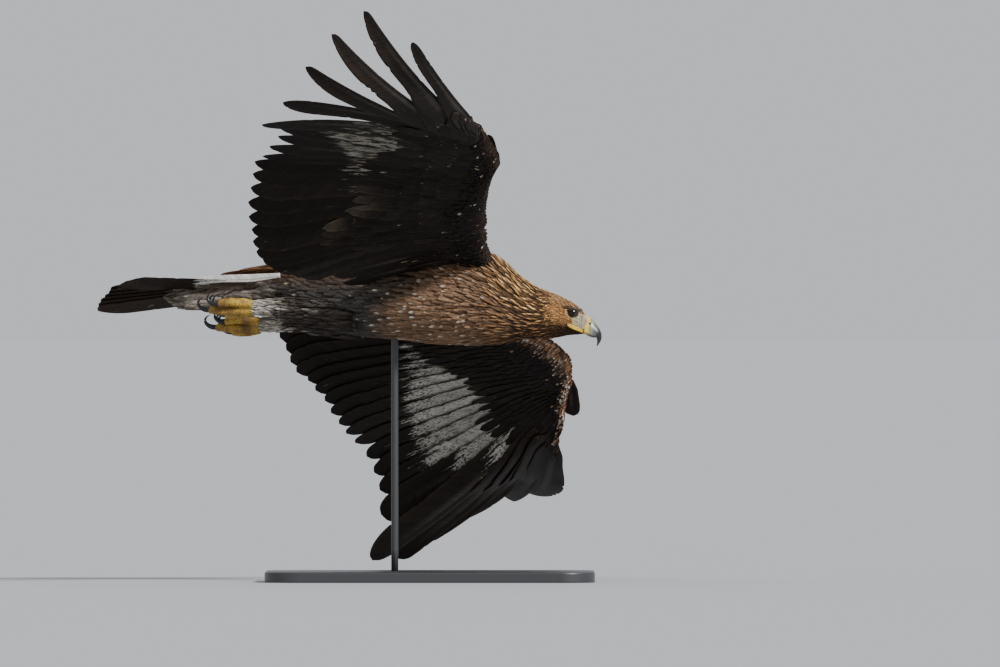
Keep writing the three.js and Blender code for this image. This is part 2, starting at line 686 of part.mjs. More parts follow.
// Claw: a curved cone that starts at the toe's tip and hooks up and forward
function clawGeometry(side, toe) {
  const path = toePath(side, toe);
  const tip = path[2];
  const aim = path[2].clone().sub(path[1]).normalize();
  const up = V(0, 0, 1).addScaledVector(aim, -aim.z).normalize();
  const radius = toe.claw * 0.5;
  const centre = tip.clone().addScaledVector(aim, GAP + 0.9).addScaledVector(up, radius * toe.curl);
  const points = [];
  for (let n = 0; n <= 6; n += 1) {
    const a = (n / 6) * 150 * DEG;
    points.push(centre.clone().addScaledVector(aim, radius * Math.sin(a) * 1.1)
      .addScaledVector(up, -radius * toe.curl * Math.cos(a)));
  }
  return tube(points, [[0, 4.6], [0.35, 3.4], [0.7, 1.9], [1, 0.4]], 5, 5);
}

// Stand: a flat base with round corners and one rod up to the belly
function rodSolid(grow = 0) {
  const top = BIRD_AT.z + 10;
  const rod = new THREE.CylinderGeometry(ROD.radius + grow, ROD.radius + grow, top - BASE.height, 20);
  rod.rotateX(Math.PI / 2);
  rod.translate(ROD.forward, ROD.side, (top + BASE.height) / 2 + GAP - BIRD_AT.z);
  return rod;
}

function baseGeometry() {
  const { length, width, height, corner } = BASE;
  const outline = new THREE.Shape();
  const x = length / 2 - corner;
  const y = width / 2 - corner;
  outline.absarc(x, y, corner, 0, Math.PI / 2);
  outline.absarc(-x, y, corner, Math.PI / 2, Math.PI);
  outline.absarc(-x, -y, corner, Math.PI, 1.5 * Math.PI);
  outline.absarc(x, -y, corner, 1.5 * Math.PI, 2 * Math.PI);
  return new THREE.ExtrudeGeometry(outline, { depth: height, bevelEnabled: false, curveSegments: 4 });
}

// The model
const group = new THREE.Group();
const bird = new THREE.Group();
bird.position.copy(BIRD_AT);
group.add(bird);

function add(parent, name, geometry, material) {
  const mesh = new THREE.Mesh(geometry, material);
  mesh.name = name;
  parent.add(mesh);
}

add(bird, 'torso', torso, BROWN_FEATHER);
add(bird, 'neck', neck, GOLD_FEATHER);
add(bird, 'head', largest(headSolid()), BROWN_FEATHER);
add(bird, 'cere', largest(cereSolid()), CERE_SKIN);
add(bird, 'beak_upper', largest(hookSolid()), HORN);
add(bird, 'beak_lower', mandible(), HORN);
add(bird, 'tail', largest(tailSolid()), DARK_FEATHER);
for (const [name, side, wing] of [['right', -1, RIGHT_WING], ['left', 1, LEFT_WING]]) {
  add(bird, `eye_${name}`, eyeBall(side, 0), EYE);
  add(bird, `wing_${name}`, largest(wingSolid(wing)), DARK_FEATHER);
  add(bird, `leg_${name}`, largest(legSolid(name)), PALE_FEATHER);
  add(bird, `foot_${name}`, largest(footSolid(name)), YELLOW_SKIN);
  TOES.forEach((toe, n) => add(bird, `claw_${name}_${n + 1}`, clawGeometry(name, toe), CLAW));
}
add(bird, 'stand_rod', largest(solid(rodSolid()).subtract(bodyClearance)), STAND);
add(group, 'stand_base', baseGeometry(), STAND);

export default group;
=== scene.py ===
# Golden eagle in gliding flight on a plain stand: the looks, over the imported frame.
# Lengths are millimetres in the bird's own frame, as in the part's source, and to_scene() makes them metres.
import math
import bpy
import numpy as np
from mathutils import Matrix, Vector


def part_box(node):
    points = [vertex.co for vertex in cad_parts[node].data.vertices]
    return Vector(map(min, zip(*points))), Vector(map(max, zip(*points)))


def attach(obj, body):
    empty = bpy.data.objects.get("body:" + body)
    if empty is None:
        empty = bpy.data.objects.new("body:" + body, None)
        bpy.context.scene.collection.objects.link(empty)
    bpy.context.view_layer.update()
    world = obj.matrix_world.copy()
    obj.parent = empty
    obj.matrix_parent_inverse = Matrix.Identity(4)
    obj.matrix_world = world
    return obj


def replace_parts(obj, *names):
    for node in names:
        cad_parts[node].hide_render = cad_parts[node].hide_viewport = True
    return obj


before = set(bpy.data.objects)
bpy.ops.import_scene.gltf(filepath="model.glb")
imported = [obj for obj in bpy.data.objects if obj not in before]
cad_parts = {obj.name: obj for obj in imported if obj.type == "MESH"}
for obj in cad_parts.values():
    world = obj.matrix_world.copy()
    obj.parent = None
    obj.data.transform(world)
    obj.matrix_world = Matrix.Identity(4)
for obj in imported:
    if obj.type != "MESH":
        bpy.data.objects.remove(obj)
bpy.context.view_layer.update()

RANDOM = np.random.default_rng(11)

# Driving sizes, the same as the solids'
BIRD_HEIGHT = 478.0
HEADING = math.radians(-11)
BANK = math.radians(24)
LEVEL_FROM = 120.0
HEAD_FROM = 204.0

# Body from the tail's core to the bill: distance forward, top, bottom, half of the width
BODY = [
    [-440, 23, -7, 7], [-412, 32, -16, 17], [-373, 42, -18, 25], [-335, 52, -17, 31],
    [-298, 61, -14, 36], [-251, 69, -22, 47], [-191, 78, -45, 66], [-121, 87, -62, 80],
    [-52, 92, -69, 88], [17, 93, -76, 90], [78, 88, -77, 84], [121, 70, -73, 68],
    [156, 43, -68, 52], [191, 21, -66, 40], [208, 14.5, -65, 36], [225, 8, -62, 34.5],
    [243, -1, -59, 30.5], [255, -9, -58, 25], [264, -18, -57, 19.5], [271, -25, -56.5, 15.5],
]

# Bones run from the shoulder by elbow and wrist to the hand's end, and dip is the way in which feathers bow.
# A fan's rows are [feather, aim up, aim outward, length, bow, leading edge before the root, turn of the tip].
# Slots are how far the fingers narrow ahead of the shaft and behind it. Broad is what they gain behind it.
# Tips are where the other feathers begin to round off, ahead and behind. Point is how sharp they are behind.
# The outermost feather has its own width ahead of the shaft, by share of its length, and its own tip.
# Alula is how far the thumb feathers stand off the hand, in degrees
RIGHT_WING = {
    "name": "right", "side": -1, "dip": np.array([0.1, -0.45, -0.89]), "alula": 2,
    "slots": (0.6, 0.42), "broad": 3, "tips": (0.60, 0.82), "point": 1.35,
    "outer_lead": [[0, 7], [1, 7]], "outer_tip": 0.9,
    "bones": np.array([[88, -40, 68], [45, -214, 120], [102, -387, 229], [80, -520, 289]], float),
    "fan": [
        [-4, -13, -2, 230, 0, 18, 0], [-2, -13, 8, 240, -4, 31, 0], [0, -13, 10, 290, -6, 51, 0],
        [3, -13, 7.5, 356, -8, 36, 0], [6, -8.6, 6, 383, -8, 23, 0], [9, -2.1, 8, 398, -8, 14, 0],
        [11, 1.6, 11, 401, -6, 13, 0], [12, 1.7, 14, 398, -4, 15, 0], [14, 5.1, 25, 393, 0, 18, 0],
        [15, 6.7, 32, 411, -6, 16, 0], [16, 5.6, 38, 472, -18, 13, 0], [17, 11.1, 48, 511, -14, 11, 0.1],
        [18, 22, 55, 551, 20, 9, 0.2], [19, 34, 59, 580, 34, 8, 0.3], [20, 46, 60, 546, 32, 7, 0.4],
        [21, 52.3, 65, 421, 12, 6, 0.6],
    ],
}
LEFT_WING = {
    "name": "left", "side": 1, "dip": np.array([0.1, -0.4, -0.91]), "alula": 9,
    "slots": (0.4, 0.10), "broad": 13, "tips": (0.93, 0.82), "point": 1.0,
    "outer_lead": [[0, 11], [0.3, 20], [0.6, 33], [0.85, 30], [1, 24]], "outer_tip": 0.55,
    "bones": np.array([[100, 60, 14], [98, 232, -42], [226, 385, -145], [216, 503, -238]], float),
    "fan": [
        [-4, -2, 0, 230, 0, 20, 0], [-2, 0, 1, 260, -4, 45, 0], [0, -0.4, 2, 351, -8, 52, 0],
        [3, -5.7, 3, 375, -8, 50, 0], [6, -9.3, 6.5, 368, -8, 58, 0], [9, -14.5, 13, 376, -8, 52, 0],
        [11, -17, 19, 384, -6, 28, 0], [12, -19.7, 24, 392, -4, 13, 0], [14, -27, 30, 404, 0, 8, 0],
        [15, -31.8, 32, 430, 6, 8, 0.1], [16, -38.9, 33, 500, 10, 7, 0.4], [17, -41.7, 45, 533, 14, 7, 0.7],
        [18, -41.9, 56, 554, 20, 7, 0.9], [19, -42.6, 66, 563, 24, 7, 1], [20, -53.6, 74.4, 537, 26, 7, 1],
        [21, -71.2, 76, 438, 20, 7, 1],
    ],
}
WINGS = (RIGHT_WING, LEFT_WING)

# Feather numbers count outward from the elbow, which is 0
SHOULDER = -4
TERTIALS = 3
WRIST = 11.8
FIRST_FINGER = 15
LAST_PRIMARY = 21

# How much feathers lie over each other, how much fingers slope across, and the arm's reach behind its bones
LAYER = 2.2
LOUVRE = 0.1
ARM_BACK = 46.0

# Camera: level, 40 m off, for a view 1.7 m wide
CAMERA_AWAY = 40.0
CAMERA_X = 0.119
CAMERA_Z = 0.422
VIEW_WIDTH = 1.7
FLOOR_REACH = 1500.0

# Paints, linear
BLACK_BROWN = (0.011, 0.0085, 0.0075)
UNDER_BROWN = np.array((0.011, 0.0088, 0.0075))
DARK_BROWN = (0.030, 0.019, 0.013)
WARM_BROWN = (0.105, 0.055, 0.028)
RUFOUS = (0.20, 0.095, 0.042)
GOLD = (0.78, 0.42, 0.145)
HACKLE_PALE = (0.95, 0.62, 0.30)
BUFF = (0.60, 0.45, 0.30)
BELLY = (0.046, 0.0415, 0.037)
# Chest brown, made light and warm as painted sunlight
SUNLIT_CHEST = (0.185, 0.110, 0.064)
WHITE = (0.72, 0.70, 0.65)
PALE_GREY = (0.36, 0.36, 0.34)


# Small numeric helpers
def smooth(x, low=0.0, high=1.0):
    t = np.clip((np.asarray(x, float) - low) / (high - low), 0, 1)
    return t * t * (3 - 2 * t)


def along(rows, x, column):
    rows = np.asarray(rows, float)
    x = np.clip(np.asarray(x, float), rows[0, 0], rows[-1, 0])
    last = len(rows) - 1
    i = np.clip(np.searchsorted(rows[:, 0], x, side="left") - 1, 0, last - 1)
    span = rows[i + 1, 0] - rows[i, 0]
    t = (x - rows[i, 0]) / span

    def slope(a, b):
        return (rows[b, column] - rows[a, column]) / (rows[b, 0] - rows[a, 0])

    start = slope(np.maximum(i - 1, 0), i + 1) * span
    end = slope(i, np.minimum(i + 2, last)) * span
    fade = (1 - t) ** 2
    return (rows[i, column] * (1 + 2 * t) * fade + start * t * fade
            + rows[i + 1, column] * t * t * (3 - 2 * t) + end * t * t * (t - 1))


def unit(v):
    return v / np.maximum(np.linalg.norm(v, axis=-1, keepdims=True), 1e-9)


def bell(x):
    return np.exp(-x ** 2)


def dot(a, b):
    return (a * b).sum(-1, keepdims=True)


def headed(p):
    c, s = math.cos(HEADING), math.sin(HEADING)
    return np.stack([c * p[..., 0] - s * p[..., 1], s * p[..., 0] + c * p[..., 1], p[..., 2]], -1)


# Forward and left in the bird's own frame, of a point that headed() has turned
def own_place(p):
    c, s = math.cos(HEADING), math.sin(HEADING)
    return c * p[..., 0] + s * p[..., 1], c * p[..., 1] - s * p[..., 0]


def point(x, y, z):
    return np.stack(np.broadcast_arrays(np.asarray(x, float), y, z), -1)


def to_scene(p):
    return (np.asarray(p) + [0, 0, BIRD_HEIGHT]) * 0.001


def turned(v, axis, angle):
    angle = np.asarray(angle)[..., None]
    return v * np.cos(angle) + np.cross(axis, v) * np.sin(angle) + axis * dot(axis, v) * (1 - np.cos(angle))


def blend(a, b, share):
    share = np.asarray(share, float)[..., None]
    return np.asarray(a) * (1 - share) + np.asarray(b) * share


# The body's surface: angle 0 is its left side, a quarter turn its back
def body_point(x, a, grow=0.0):
    top, bottom, wide = (along(BODY, x, c) for c in (1, 2, 3))
    bank = BANK * (1 - smooth(x, LEVEL_FROM, HEAD_FROM))
    reach = (top - bottom) / 2
    lean = np.minimum(wide * np.sin(bank), reach * 0.7)
    high = np.sqrt(reach ** 2 - lean ** 2) / np.cos(bank)
    across = (wide + grow) * np.cos(a)
    up = (high + grow) * np.sin(a)
    y = across * np.cos(bank) + up * np.sin(bank)
    z = up * np.cos(bank) - across * np.sin(bank)
    return headed(point(x, y, (top + bottom) / 2 + z))


def body_frame(x, a, grow=0.0):
    here = body_point(x, a, grow)
    back = unit(body_point(x - 2, a, grow) - body_point(x + 2, a, grow))
    round_it = unit(body_point(x, a + 0.03, grow) - body_point(x, a - 0.03, grow))
    out = unit(np.cross(back, round_it))
    return here, back, out


# The wing's middle surface
def feather_root(wing, i):
    shoulder, elbow, wrist, hand = wing["bones"]
    i = np.asarray(i, float)[..., None]
    inner = elbow + (shoulder - elbow) * (i / SHOULDER)
    arm = wrist + (elbow - wrist) * (WRIST - i) / WRIST
    outer = wrist + (hand - wrist) * np.minimum((i - WRIST) / (LAST_PRIMARY - WRIST), 1)
    return np.where(i < 0, inner, np.where(i < WRIST, arm, outer))


def feather_aim(wing, i):
    up = np.radians(along(wing["fan"], i, 1))
    out = np.radians(along(wing["fan"], i, 2))
    return point(-np.cos(out) * np.cos(up), wing["side"] * np.sin(out), np.cos(out) * np.sin(up))


def surface_point(wing, i, d):
    s = d / along(wing["fan"], i, 3)
    sag = along(wing["fan"], i, 4) * 4 * s * (1 - s)
    straight = feather_root(wing, i) + feather_aim(wing, i) * np.asarray(d)[..., None]
    return straight + wing["dip"] * sag[..., None]


# The surface's upward normal, taken between neighbours at a distance where the feathers have spread
SPREAD_FROM = 120
NEIGHBOUR = 0.6


def surface_upper(wing, i, d):
    far = np.maximum(d, SPREAD_FROM)
    k = np.clip(i, SHOULDER + NEIGHBOUR, LAST_PRIMARY - NEIGHBOUR)
    spread = surface_point(wing, k + NEIGHBOUR, far) - surface_point(wing, k - NEIGHBOUR, far)
    out = surface_point(wing, k, far + 5) - surface_point(wing, k, far - 5)
    upper = unit(np.cross(spread, out))
    return np.where(upper[..., 1:2] + upper[..., 2:3] < 0, -upper, upper)


# Place on a vane that bends with the wing's surface, from one feather to the next
MIN_SPACING = 9


def bent_place(wing, i, d, a, w, leading):
    high = np.minimum(i + 0.5, LAST_PRIMARY)
    low = np.maximum(i - 0.5, SHOULDER)
    spacing = np.abs(dot(surface_point(wing, high, d) - surface_point(wing, low, d), leading)[..., 0])
    step = a / np.maximum(spacing / (high - low), MIN_SPACING)
    k = np.clip(i + step, SHOULDER, LAST_PRIMARY)
    over = (i + step - k) * np.where(np.abs(step) > 1e-6, a / np.where(step == 0, 1, step), 0)
    rise = (w + LAYER * step)[..., None]
    return surface_point(wing, k, d) + leading * over[..., None] + surface_upper(wing, k, d) * rise


# Place on a finger's flat vane, whose upper face turns away from the camera by the fan's last column
def finger_place(wing, i, d, a, w, aim, upper, leading, loose):
    away = unit(np.array([0.0, 1.0, 0.0]) - aim * aim[..., 1:2])
    turn = np.arctan2(dot(np.cross(upper, away), aim), dot(upper, away))[..., 0]
    twist = turn * along(wing["fan"], i, 6) * loose
    return (surface_point(wing, i, d) + turned(leading, aim, twist) * a[..., None]
            + turned(upper, aim, twist) * (w + LOUVRE * a)[..., None])


# Place on feather i: distance along it, toward its leading side, and up
def feather_place(wing, i, d, a, w):
    i, d, a, w = np.broadcast_arrays(np.asarray(i, float), d, a, w)
    aim = feather_aim(wing, i)
    upper = surface_upper(wing, i, d)
    leading = unit(np.cross(aim, upper) * wing["side"])
    finger = smooth(i, FIRST_FINGER, FIRST_FINGER + 2)
    loose = finger * smooth(d / along(wing["fan"], i, 3), 0.36, 0.6)
    bent = bent_place(wing, i, d, a, w, leading)
    flat = finger_place(wing, i, d, a, w, aim, upper, leading, loose)
    return bent * (1 - loose[..., None]) + flat * loose[..., None]


# The arm's section: c runs from -1 at the leading edge through the bones to 1 behind them
ARM_TOP = [[-1, 0], [-0.8, 0.3], [-0.35, 0.5], [0.1, 0.48], [0.55, 0.3], [1, 0.07], [3, 0.03]]
ARM_UNDER = [[-1, 0], [-0.8, -0.26], [-0.35, -0.44], [0.1, -0.44], [0.55, -0.3], [1, -0.07], [3, -0.03]]
ARM_THICK = [[-4, 40], [0, 30], [6, 26], [11.5, 26], [16, 19], [21, 12]]


def arm_point(wing, i, c, face, grow=0.0):
    i, c = np.broadcast_arrays(np.asarray(i, float), np.asarray(c, float))
    elbow, wrist, hand = wing["bones"][1:]
    share = smooth(i, WRIST - 1, WRIST + 1)[..., None]
    bone = unit(unit(wrist - elbow) * (1 - share) + unit(hand - wrist) * share)
    aim = feather_aim(wing, i)
    ahead = unit(bone * dot(aim, bone) - aim)
    upper = surface_upper(wing, i, np.zeros_like(i))
    front = along(wing["fan"], i, 5) + 3
    rise = along(ARM_TOP if face > 0 else ARM_UNDER, c, 1) * along(ARM_THICK, i, 1) + face * grow
    before = feather_root(wing, i) + ahead * (front * np.maximum(-c, 0))[..., None]
    behind = surface_point(wing, i, ARM_BACK * np.maximum(c, 0))
    return np.where(c[..., None] < 0, before, behind) + upper * rise[..., None]


# Meshes
def new_object(name, vertices, faces, material, smooth_shade=True):
    mesh = bpy.data.meshes.new(name)
    mesh.from_pydata([], [], [])
    counts = np.concatenate([np.full(len(f), f.shape[1]) for f in faces])
    corners = np.concatenate([f.ravel() for f in faces])
    mesh.vertices.add(len(vertices))
    mesh.vertices.foreach_set("co", np.ascontiguousarray(vertices, dtype=np.float32).ravel())
    mesh.loops.add(len(corners))
    mesh.loops.foreach_set("vertex_index", corners.astype(np.int32))
    mesh.polygons.add(len(counts))
    mesh.polygons.foreach_set("loop_start", np.concatenate([[0], np.cumsum(counts)[:-1]]).astype(np.int32))
    mesh.update(calc_edges=True)
    mesh.validate()
    mesh.polygons.foreach_set("use_smooth", np.full(len(mesh.polygons), smooth_shade))
    mesh.materials.append(material)
    piece = bpy.data.objects.new(name, mesh)
    bpy.context.scene.collection.objects.link(piece)
    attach(piece, "root")
    return piece


def set_vectors(piece, name, values, kind="FLOAT_VECTOR"):
    layer = piece.data.attributes.new(name, kind, "POINT")
    field = "color" if kind == "FLOAT_COLOR" else "vector"
    layer.data.foreach_set(field, np.ascontiguousarray(values, dtype=np.float32).ravel())


def set_paint(piece, paint):
    set_vectors(piece, "paint", np.concatenate([paint, np.ones((len(paint), 1))], 1), "FLOAT_COLOR")


def set_bake_map(piece, uv):
    layer = piece.data.uv_layers.new(name="OFBake")
    corner = np.empty(len(piece.data.loops), np.int32)
    piece.data.loops.foreach_get("vertex_index", corner)
    layer.data.foreach_set("uv", np.ascontiguousarray(uv[corner], dtype=np.float32).ravel())


# Faces of a grid of points, rows by columns, from a first index
def grid_faces(rows, columns, first=0, wrap=False):
    r, c = np.meshgrid(np.arange(rows - 1), np.arange(columns if wrap else columns - 1), indexing="ij")
    a = first + r * columns + c
    b = first + r * columns + (c + 1) % columns
    return np.stack([a, b, b + columns, a + columns], -1).reshape(-1, 4)


# Plumage: many vanes gathered into one mesh, with their paint, their own coordinates and their bake map
class Plumage:
    def __init__(self):
        self.points, self.faces, self.paint, self.vane, self.mark, self.bake = [], [], [], [], [], []
        self.count = 0

    def add(self, points, faces, paint, vane, mark, bake):
        self.faces.append(faces + self.count)
        self.count += len(points)
        for store, values, width in ((self.points, points, 3), (self.paint, paint, 3), (self.vane, vane, 3),
                                     (self.mark, mark, 3), (self.bake, bake, 2)):
            store.append(np.broadcast_to(values, (len(points), width)))

    def build(self, name):
        vertices = to_scene(np.concatenate(self.points))
        piece = new_object(name, vertices, [np.concatenate(self.faces)], FEATHER)
        set_paint(piece, np.concatenate(self.paint))
        set_vectors(piece, "vane", np.concatenate(self.vane))
        set_vectors(piece, "mark", np.concatenate(self.mark))
        set_bake_map(piece, np.concatenate(self.bake))
        return piece


# Small feathers: closed vanes of four sides, from arrays of roots, aims and surface normals.
# paint(s, t) gives the colour for each feather at a share of its length and -1, 0 or 1 across
SMALL_STATIONS = np.array([0, 0.35, 0.68, 0.88, 1.0])
ROUND_SHAPE = np.array([0.35, 0.95, 1.0, 0.72, 0.2])
TORSO_SHAPE = np.array([0.35, 0.88, 0.84, 0.5, 0.09])
POINTED_SHAPE = np.array([0.4, 0.9, 0.72, 0.38, 0.05])
CUP = 0.10


def small_feathers(plumage, root, aim, up, length, width, paint, bake, shape, lift, curl):
    n = len(root)
    s = SMALL_STATIONS
    length, width, lift = (np.broadcast_to(v, (n,)).astype(float) for v in (length, width, lift))
    up = unit(up)
    aim = unit(aim - up * dot(aim, up))
    side = np.cross(up, aim)
    ls = length[:, None] * s
    rise = length[:, None] * (lift[:, None] * s - curl * s * s)
    centre = root[:, None] + aim[:, None] * ls[..., None] + up[:, None] * rise[..., None]
    half = (width[:, None] / 2 * shape)[..., None]
    edge = side[:, None] * half
    droop = up[:, None] * half * CUP * 2
    ridge = up[:, None] * np.minimum(0.06 * width, 0.5)[:, None, None]
    points = np.stack([centre - edge - droop, centre + ridge, centre + edge - droop, centre - ridge * 0.6], 2)
    t = np.broadcast_to(np.array([-1.0, 0.0, 1.0, 0.0]), (n, len(s), 4))
    share = np.broadcast_to(s[None, :, None], t.shape)
    colour = np.stack([paint(s[j], t[0, 0, k]) for j in range(len(s)) for k in range(4)], 1)
    tone = np.broadcast_to(RANDOM.random(n)[:, None, None], t.shape)
    vane = np.stack([t * half[..., 0][..., None], share * length[:, None, None], tone], -1)
    uv = np.stack([bake[0][:, None, None] + 0.0015 * t, bake[1][:, None, None] + 0.003 * (share - 0.5)], -1)
    block = len(s) * 4
    ends = [[0, 3, 2, 1], [block - 4, block - 3, block - 2, block - 1]]
    local = np.concatenate([grid_faces(len(s), 4, wrap=True), ends])
    faces = (np.arange(n)[:, None, None] * block + local).reshape(-1, 4)
    plumage.add(points.reshape(-1, 3), faces, colour.reshape(-1, 3), vane.reshape(-1, 3), np.zeros(3),
                uv.reshape(-1, 2))


# Faces of a closed sheet: a grid above, one below it, and the rim between them
def sheet_faces(rows, columns):
    n = rows * columns
    r = np.arange(rows - 1) * columns
    c = np.arange(columns - 1)
    edges = [(r, columns, 1), (r + columns - 1, columns, -1), (c, 1, -1), (n - columns + c, 1, 1)]
    rim = []
    for first, step, flip in edges:
        rim.append(np.stack([first, first + step, first + step + n, first + n], -1)[:, ::flip])
    return np.concatenate([grid_faces(rows, columns), grid_faces(rows, columns, n)[:, ::-1]] + rim)


# Fine vane: a closed sheet over a grid of stations, laid by a place function that returns points.
# Paint and mark give what each point carries on the upper face, 1, and on the under face, -1
ACROSS = np.array([-1, -0.8, -0.55, -0.28, -0.05, 0.05, 0.3, 0.65, 1.0])
BAKE_HALF = 0.006
BAKE_UNDER = 0.014


def fine_vane(plumage, place, stations, lead, trail, thick, paint, mark, bake, length):
    s, t = np.broadcast_arrays(stations[:, None], ACROSS)
    a = np.where(t > 0, t * lead[:, None], t * trail[:, None])
    shaft = bell(t / 0.12) * (1.1 * (1 - s) + 0.15)
    body = thick * (1 - 0.6 * np.abs(t))
    droop = 0.035 * np.abs(a) ** 1.35 * 0.4
    points, colours, marks = [], [], []
    for face in (1, -1):
        points.append(place(s, a, face * (body / 2 + shaft) - droop).reshape(-1, 3))
        colours.append(paint(s, t, face).reshape(-1, 3))
        marks.append(mark(s, t, face).reshape(-1, 3))
    vane = point(a, s * length, RANDOM.random()).reshape(-1, 3)
    uv = np.stack([bake[0] + BAKE_HALF * t, bake[1] + bake[2] * s], -1).reshape(-1, 2)
    uvs = np.concatenate([uv, uv + [BAKE_UNDER, 0]])
    plumage.add(np.concatenate(points), sheet_faces(len(stations), len(ACROSS)), np.concatenate(colours),
                np.concatenate([vane, vane]), np.concatenate(marks), uvs)


# Materials
class Shader:
    def __init__(self, name, **base):
        self.material = bpy.data.materials.new(name)
        self.material.use_nodes = True
        self.tree = self.material.node_tree
        self.surface = self.tree.nodes["Principled BSDF"]
        for key, value in base.items():
            self.surface.inputs[key.replace("_", " ")].default_value = value

    def node(self, kind, inputs=(), **settings):
        made = self.tree.nodes.new("ShaderNode" + kind)
        for key, value in settings.items():
            setattr(made, key, value)
        for key, value in dict(inputs).items():
            if isinstance(value, bpy.types.NodeSocket):
                self.tree.links.new(value, made.inputs[key])
            else:
                made.inputs[key].default_value = value
        return made

    def maths(self, operation, a, b=0.5, c=0.5):
        return self.node("Math", {0: a, 1: b, 2: c}, operation=operation).outputs[0]

    def range(self, value, low, high, to_low=0.0, to_high=1.0):
        inputs = {"Value": value, "From Min": low, "From Max": high, "To Min": to_low, "To Max": to_high}
        return self.node("MapRange", inputs, interpolation_type="SMOOTHSTEP").outputs[0]

    def noise(self, vector, scale, detail=3.0, roughness=0.55):
        inputs = {"Vector": vector, "Scale": scale, "Detail": detail, "Roughness": roughness}
        return self.node("TexNoise", inputs).outputs[0]

    def mix(self, share, a, b, how="MIX"):
        made = self.node("Mix", data_type="RGBA", blend_type=how)
        for socket, value in ((made.inputs[0], share), (made.inputs[6], a), (made.inputs[7], b)):
            if isinstance(value, bpy.types.NodeSocket):
                self.tree.links.new(value, socket)
            else:
                socket.default_value = (*value, 1) if isinstance(value, tuple) else value
        return made.outputs[2]

    def bump(self, height, strength, distance):
        inputs = {"Height": height, "Strength": strength, "Distance": distance}
        self.tree.links.new(self.node("Bump", inputs).outputs[0], self.surface.inputs["Normal"])

    def place(self):
        return self.node("TexCoord").outputs["Object"]

    def stretched(self, x, y, z):
        return self.node("Mapping", {"Vector": self.place(), "Scale": (x, y, z)}).outputs[0]

    def joined(self, x, y, z):
        return self.node("CombineXYZ", {0: x, 1: y, 2: z}).outputs[0]

    def paint(self):
        return self.node("Attribute", attribute_name="paint").outputs["Color"]

    def shaded(self, colour, shade):
        grey = self.node("CombineColor", {0: shade, 1: shade, 2: shade}).outputs[0]
        return self.mix(1.0, colour, grey, "MULTIPLY")

    def colour(self, socket):
        self.tree.links.new(socket, self.surface.inputs["Base Color"])
        return self.material

    def split(self, name):
        source = self.node("Attribute", attribute_name=name).outputs["Vector"]
        return self.node("SeparateXYZ", {0: source}).outputs


# Feathers: barbs slant from the shaft, pale bases break up toward the tip, dark specks lie in them
def feather_material():
    sh = Shader("feather", Roughness=0.68, Specular_IOR_Level=0.08)
    across, length, tone = sh.split("vane")
    pale, specks, white = sh.split("mark")
    slanted = sh.maths("SUBTRACT", length, sh.maths("ABSOLUTE", across))
    seed = sh.maths("MULTIPLY", tone, 60.0)
    barb = sh.joined(slanted, sh.maths("MULTIPLY", across, 0.08), seed)
    fine = sh.noise(barb, 0.9, 2.0)
    broad = sh.noise(barb, 0.12, 3.0)
    shade = sh.maths("MULTIPLY", sh.range(fine, 0.3, 0.7, 0.72, 1.24), sh.range(broad, 0.3, 0.7, 0.82, 1.16))
    shade = sh.maths("MULTIPLY", shade, sh.range(tone, 0, 1, 0.82, 1.18))
    blotch = sh.noise(sh.joined(across, sh.maths("MULTIPLY", length, 0.14), seed), 0.22, 4.0, 0.65)
    amount = sh.range(sh.maths("MULTIPLY_ADD", sh.maths("SUBTRACT", blotch, 0.5), 2.3, pale), 0.38, 0.68)
    spot = sh.noise(sh.joined(across, sh.maths("MULTIPLY", length, 0.7), seed), 0.26, 2.0)
    speck = sh.maths("MULTIPLY", sh.range(spot, 0.52, 0.58), specks)
    grey = sh.mix(speck, sh.mix(white, (0.20, 0.185, 0.15), WHITE), BLACK_BROWN)
    sh.bump(fine, 0.35, 0.0004)
    return sh.colour(sh.shaded(sh.mix(amount, sh.paint(), grey), shade))


# Skin under the coat: carries the coat's own paint, as bare rough down
def skin_material():
    sh = Shader("skin", Roughness=0.9, Sheen_Weight=0.1)
    grain = sh.noise(sh.place(), 420.0)
    rough = sh.mix(sh.range(grain, 0.3, 0.7), (0.25, 0.25, 0.25), (1.1, 1.1, 1.1))
    sh.bump(grain, 0.5, 0.001)
    return sh.colour(sh.mix(0.5, sh.paint(), rough, "MULTIPLY"))


# Bill: pale horn at the cere, slate toward the hook, with fine growth lines
def bill_material():
    sh = Shader("bill", Roughness=0.34, Specular_IOR_Level=0.4, Coat_Weight=0.12, Coat_Roughness=0.15)
    lines = sh.noise(sh.stretched(1.0, 1.0, 0.25), 900.0, 3.0)
    cloud = sh.noise(sh.place(), 160.0)
    sh.bump(lines, 0.12, 0.0004)
    shade = sh.maths("MULTIPLY", sh.range(lines, 0.3, 0.7, 0.88, 1.1), sh.range(cloud, 0.3, 0.7, 0.85, 1.12))
    return sh.colour(sh.shaded(sh.paint(), shade))


# Cere, gape, toes, lids and brows: waxy skin in small scales; the brows' near-black stands for painted shadow
def scaly_material(name, light, dark, scale, roughness=0.45, painted=False):
    sh = Shader(name, Roughness=roughness, Specular_IOR_Level=0.45, Subsurface_Weight=0.05)
    cells = sh.node("TexVoronoi", {"Vector": sh.place(), "Scale": scale}, feature="DISTANCE_TO_EDGE")
    cloud = sh.noise(sh.place(), scale * 0.12, 4.0)
    crack = sh.range(cells.outputs["Distance"], 0.0, 0.12)
    tone = sh.mix(sh.range(cloud, 0.35, 0.65), light, dark)
    sh.bump(crack, 0.35, 0.0006)
    skin = sh.mix(crack, tuple(0.45 * c for c in dark), tone)
    return sh.colour(sh.mix(1.0, skin, sh.paint(), "MULTIPLY") if painted else skin)


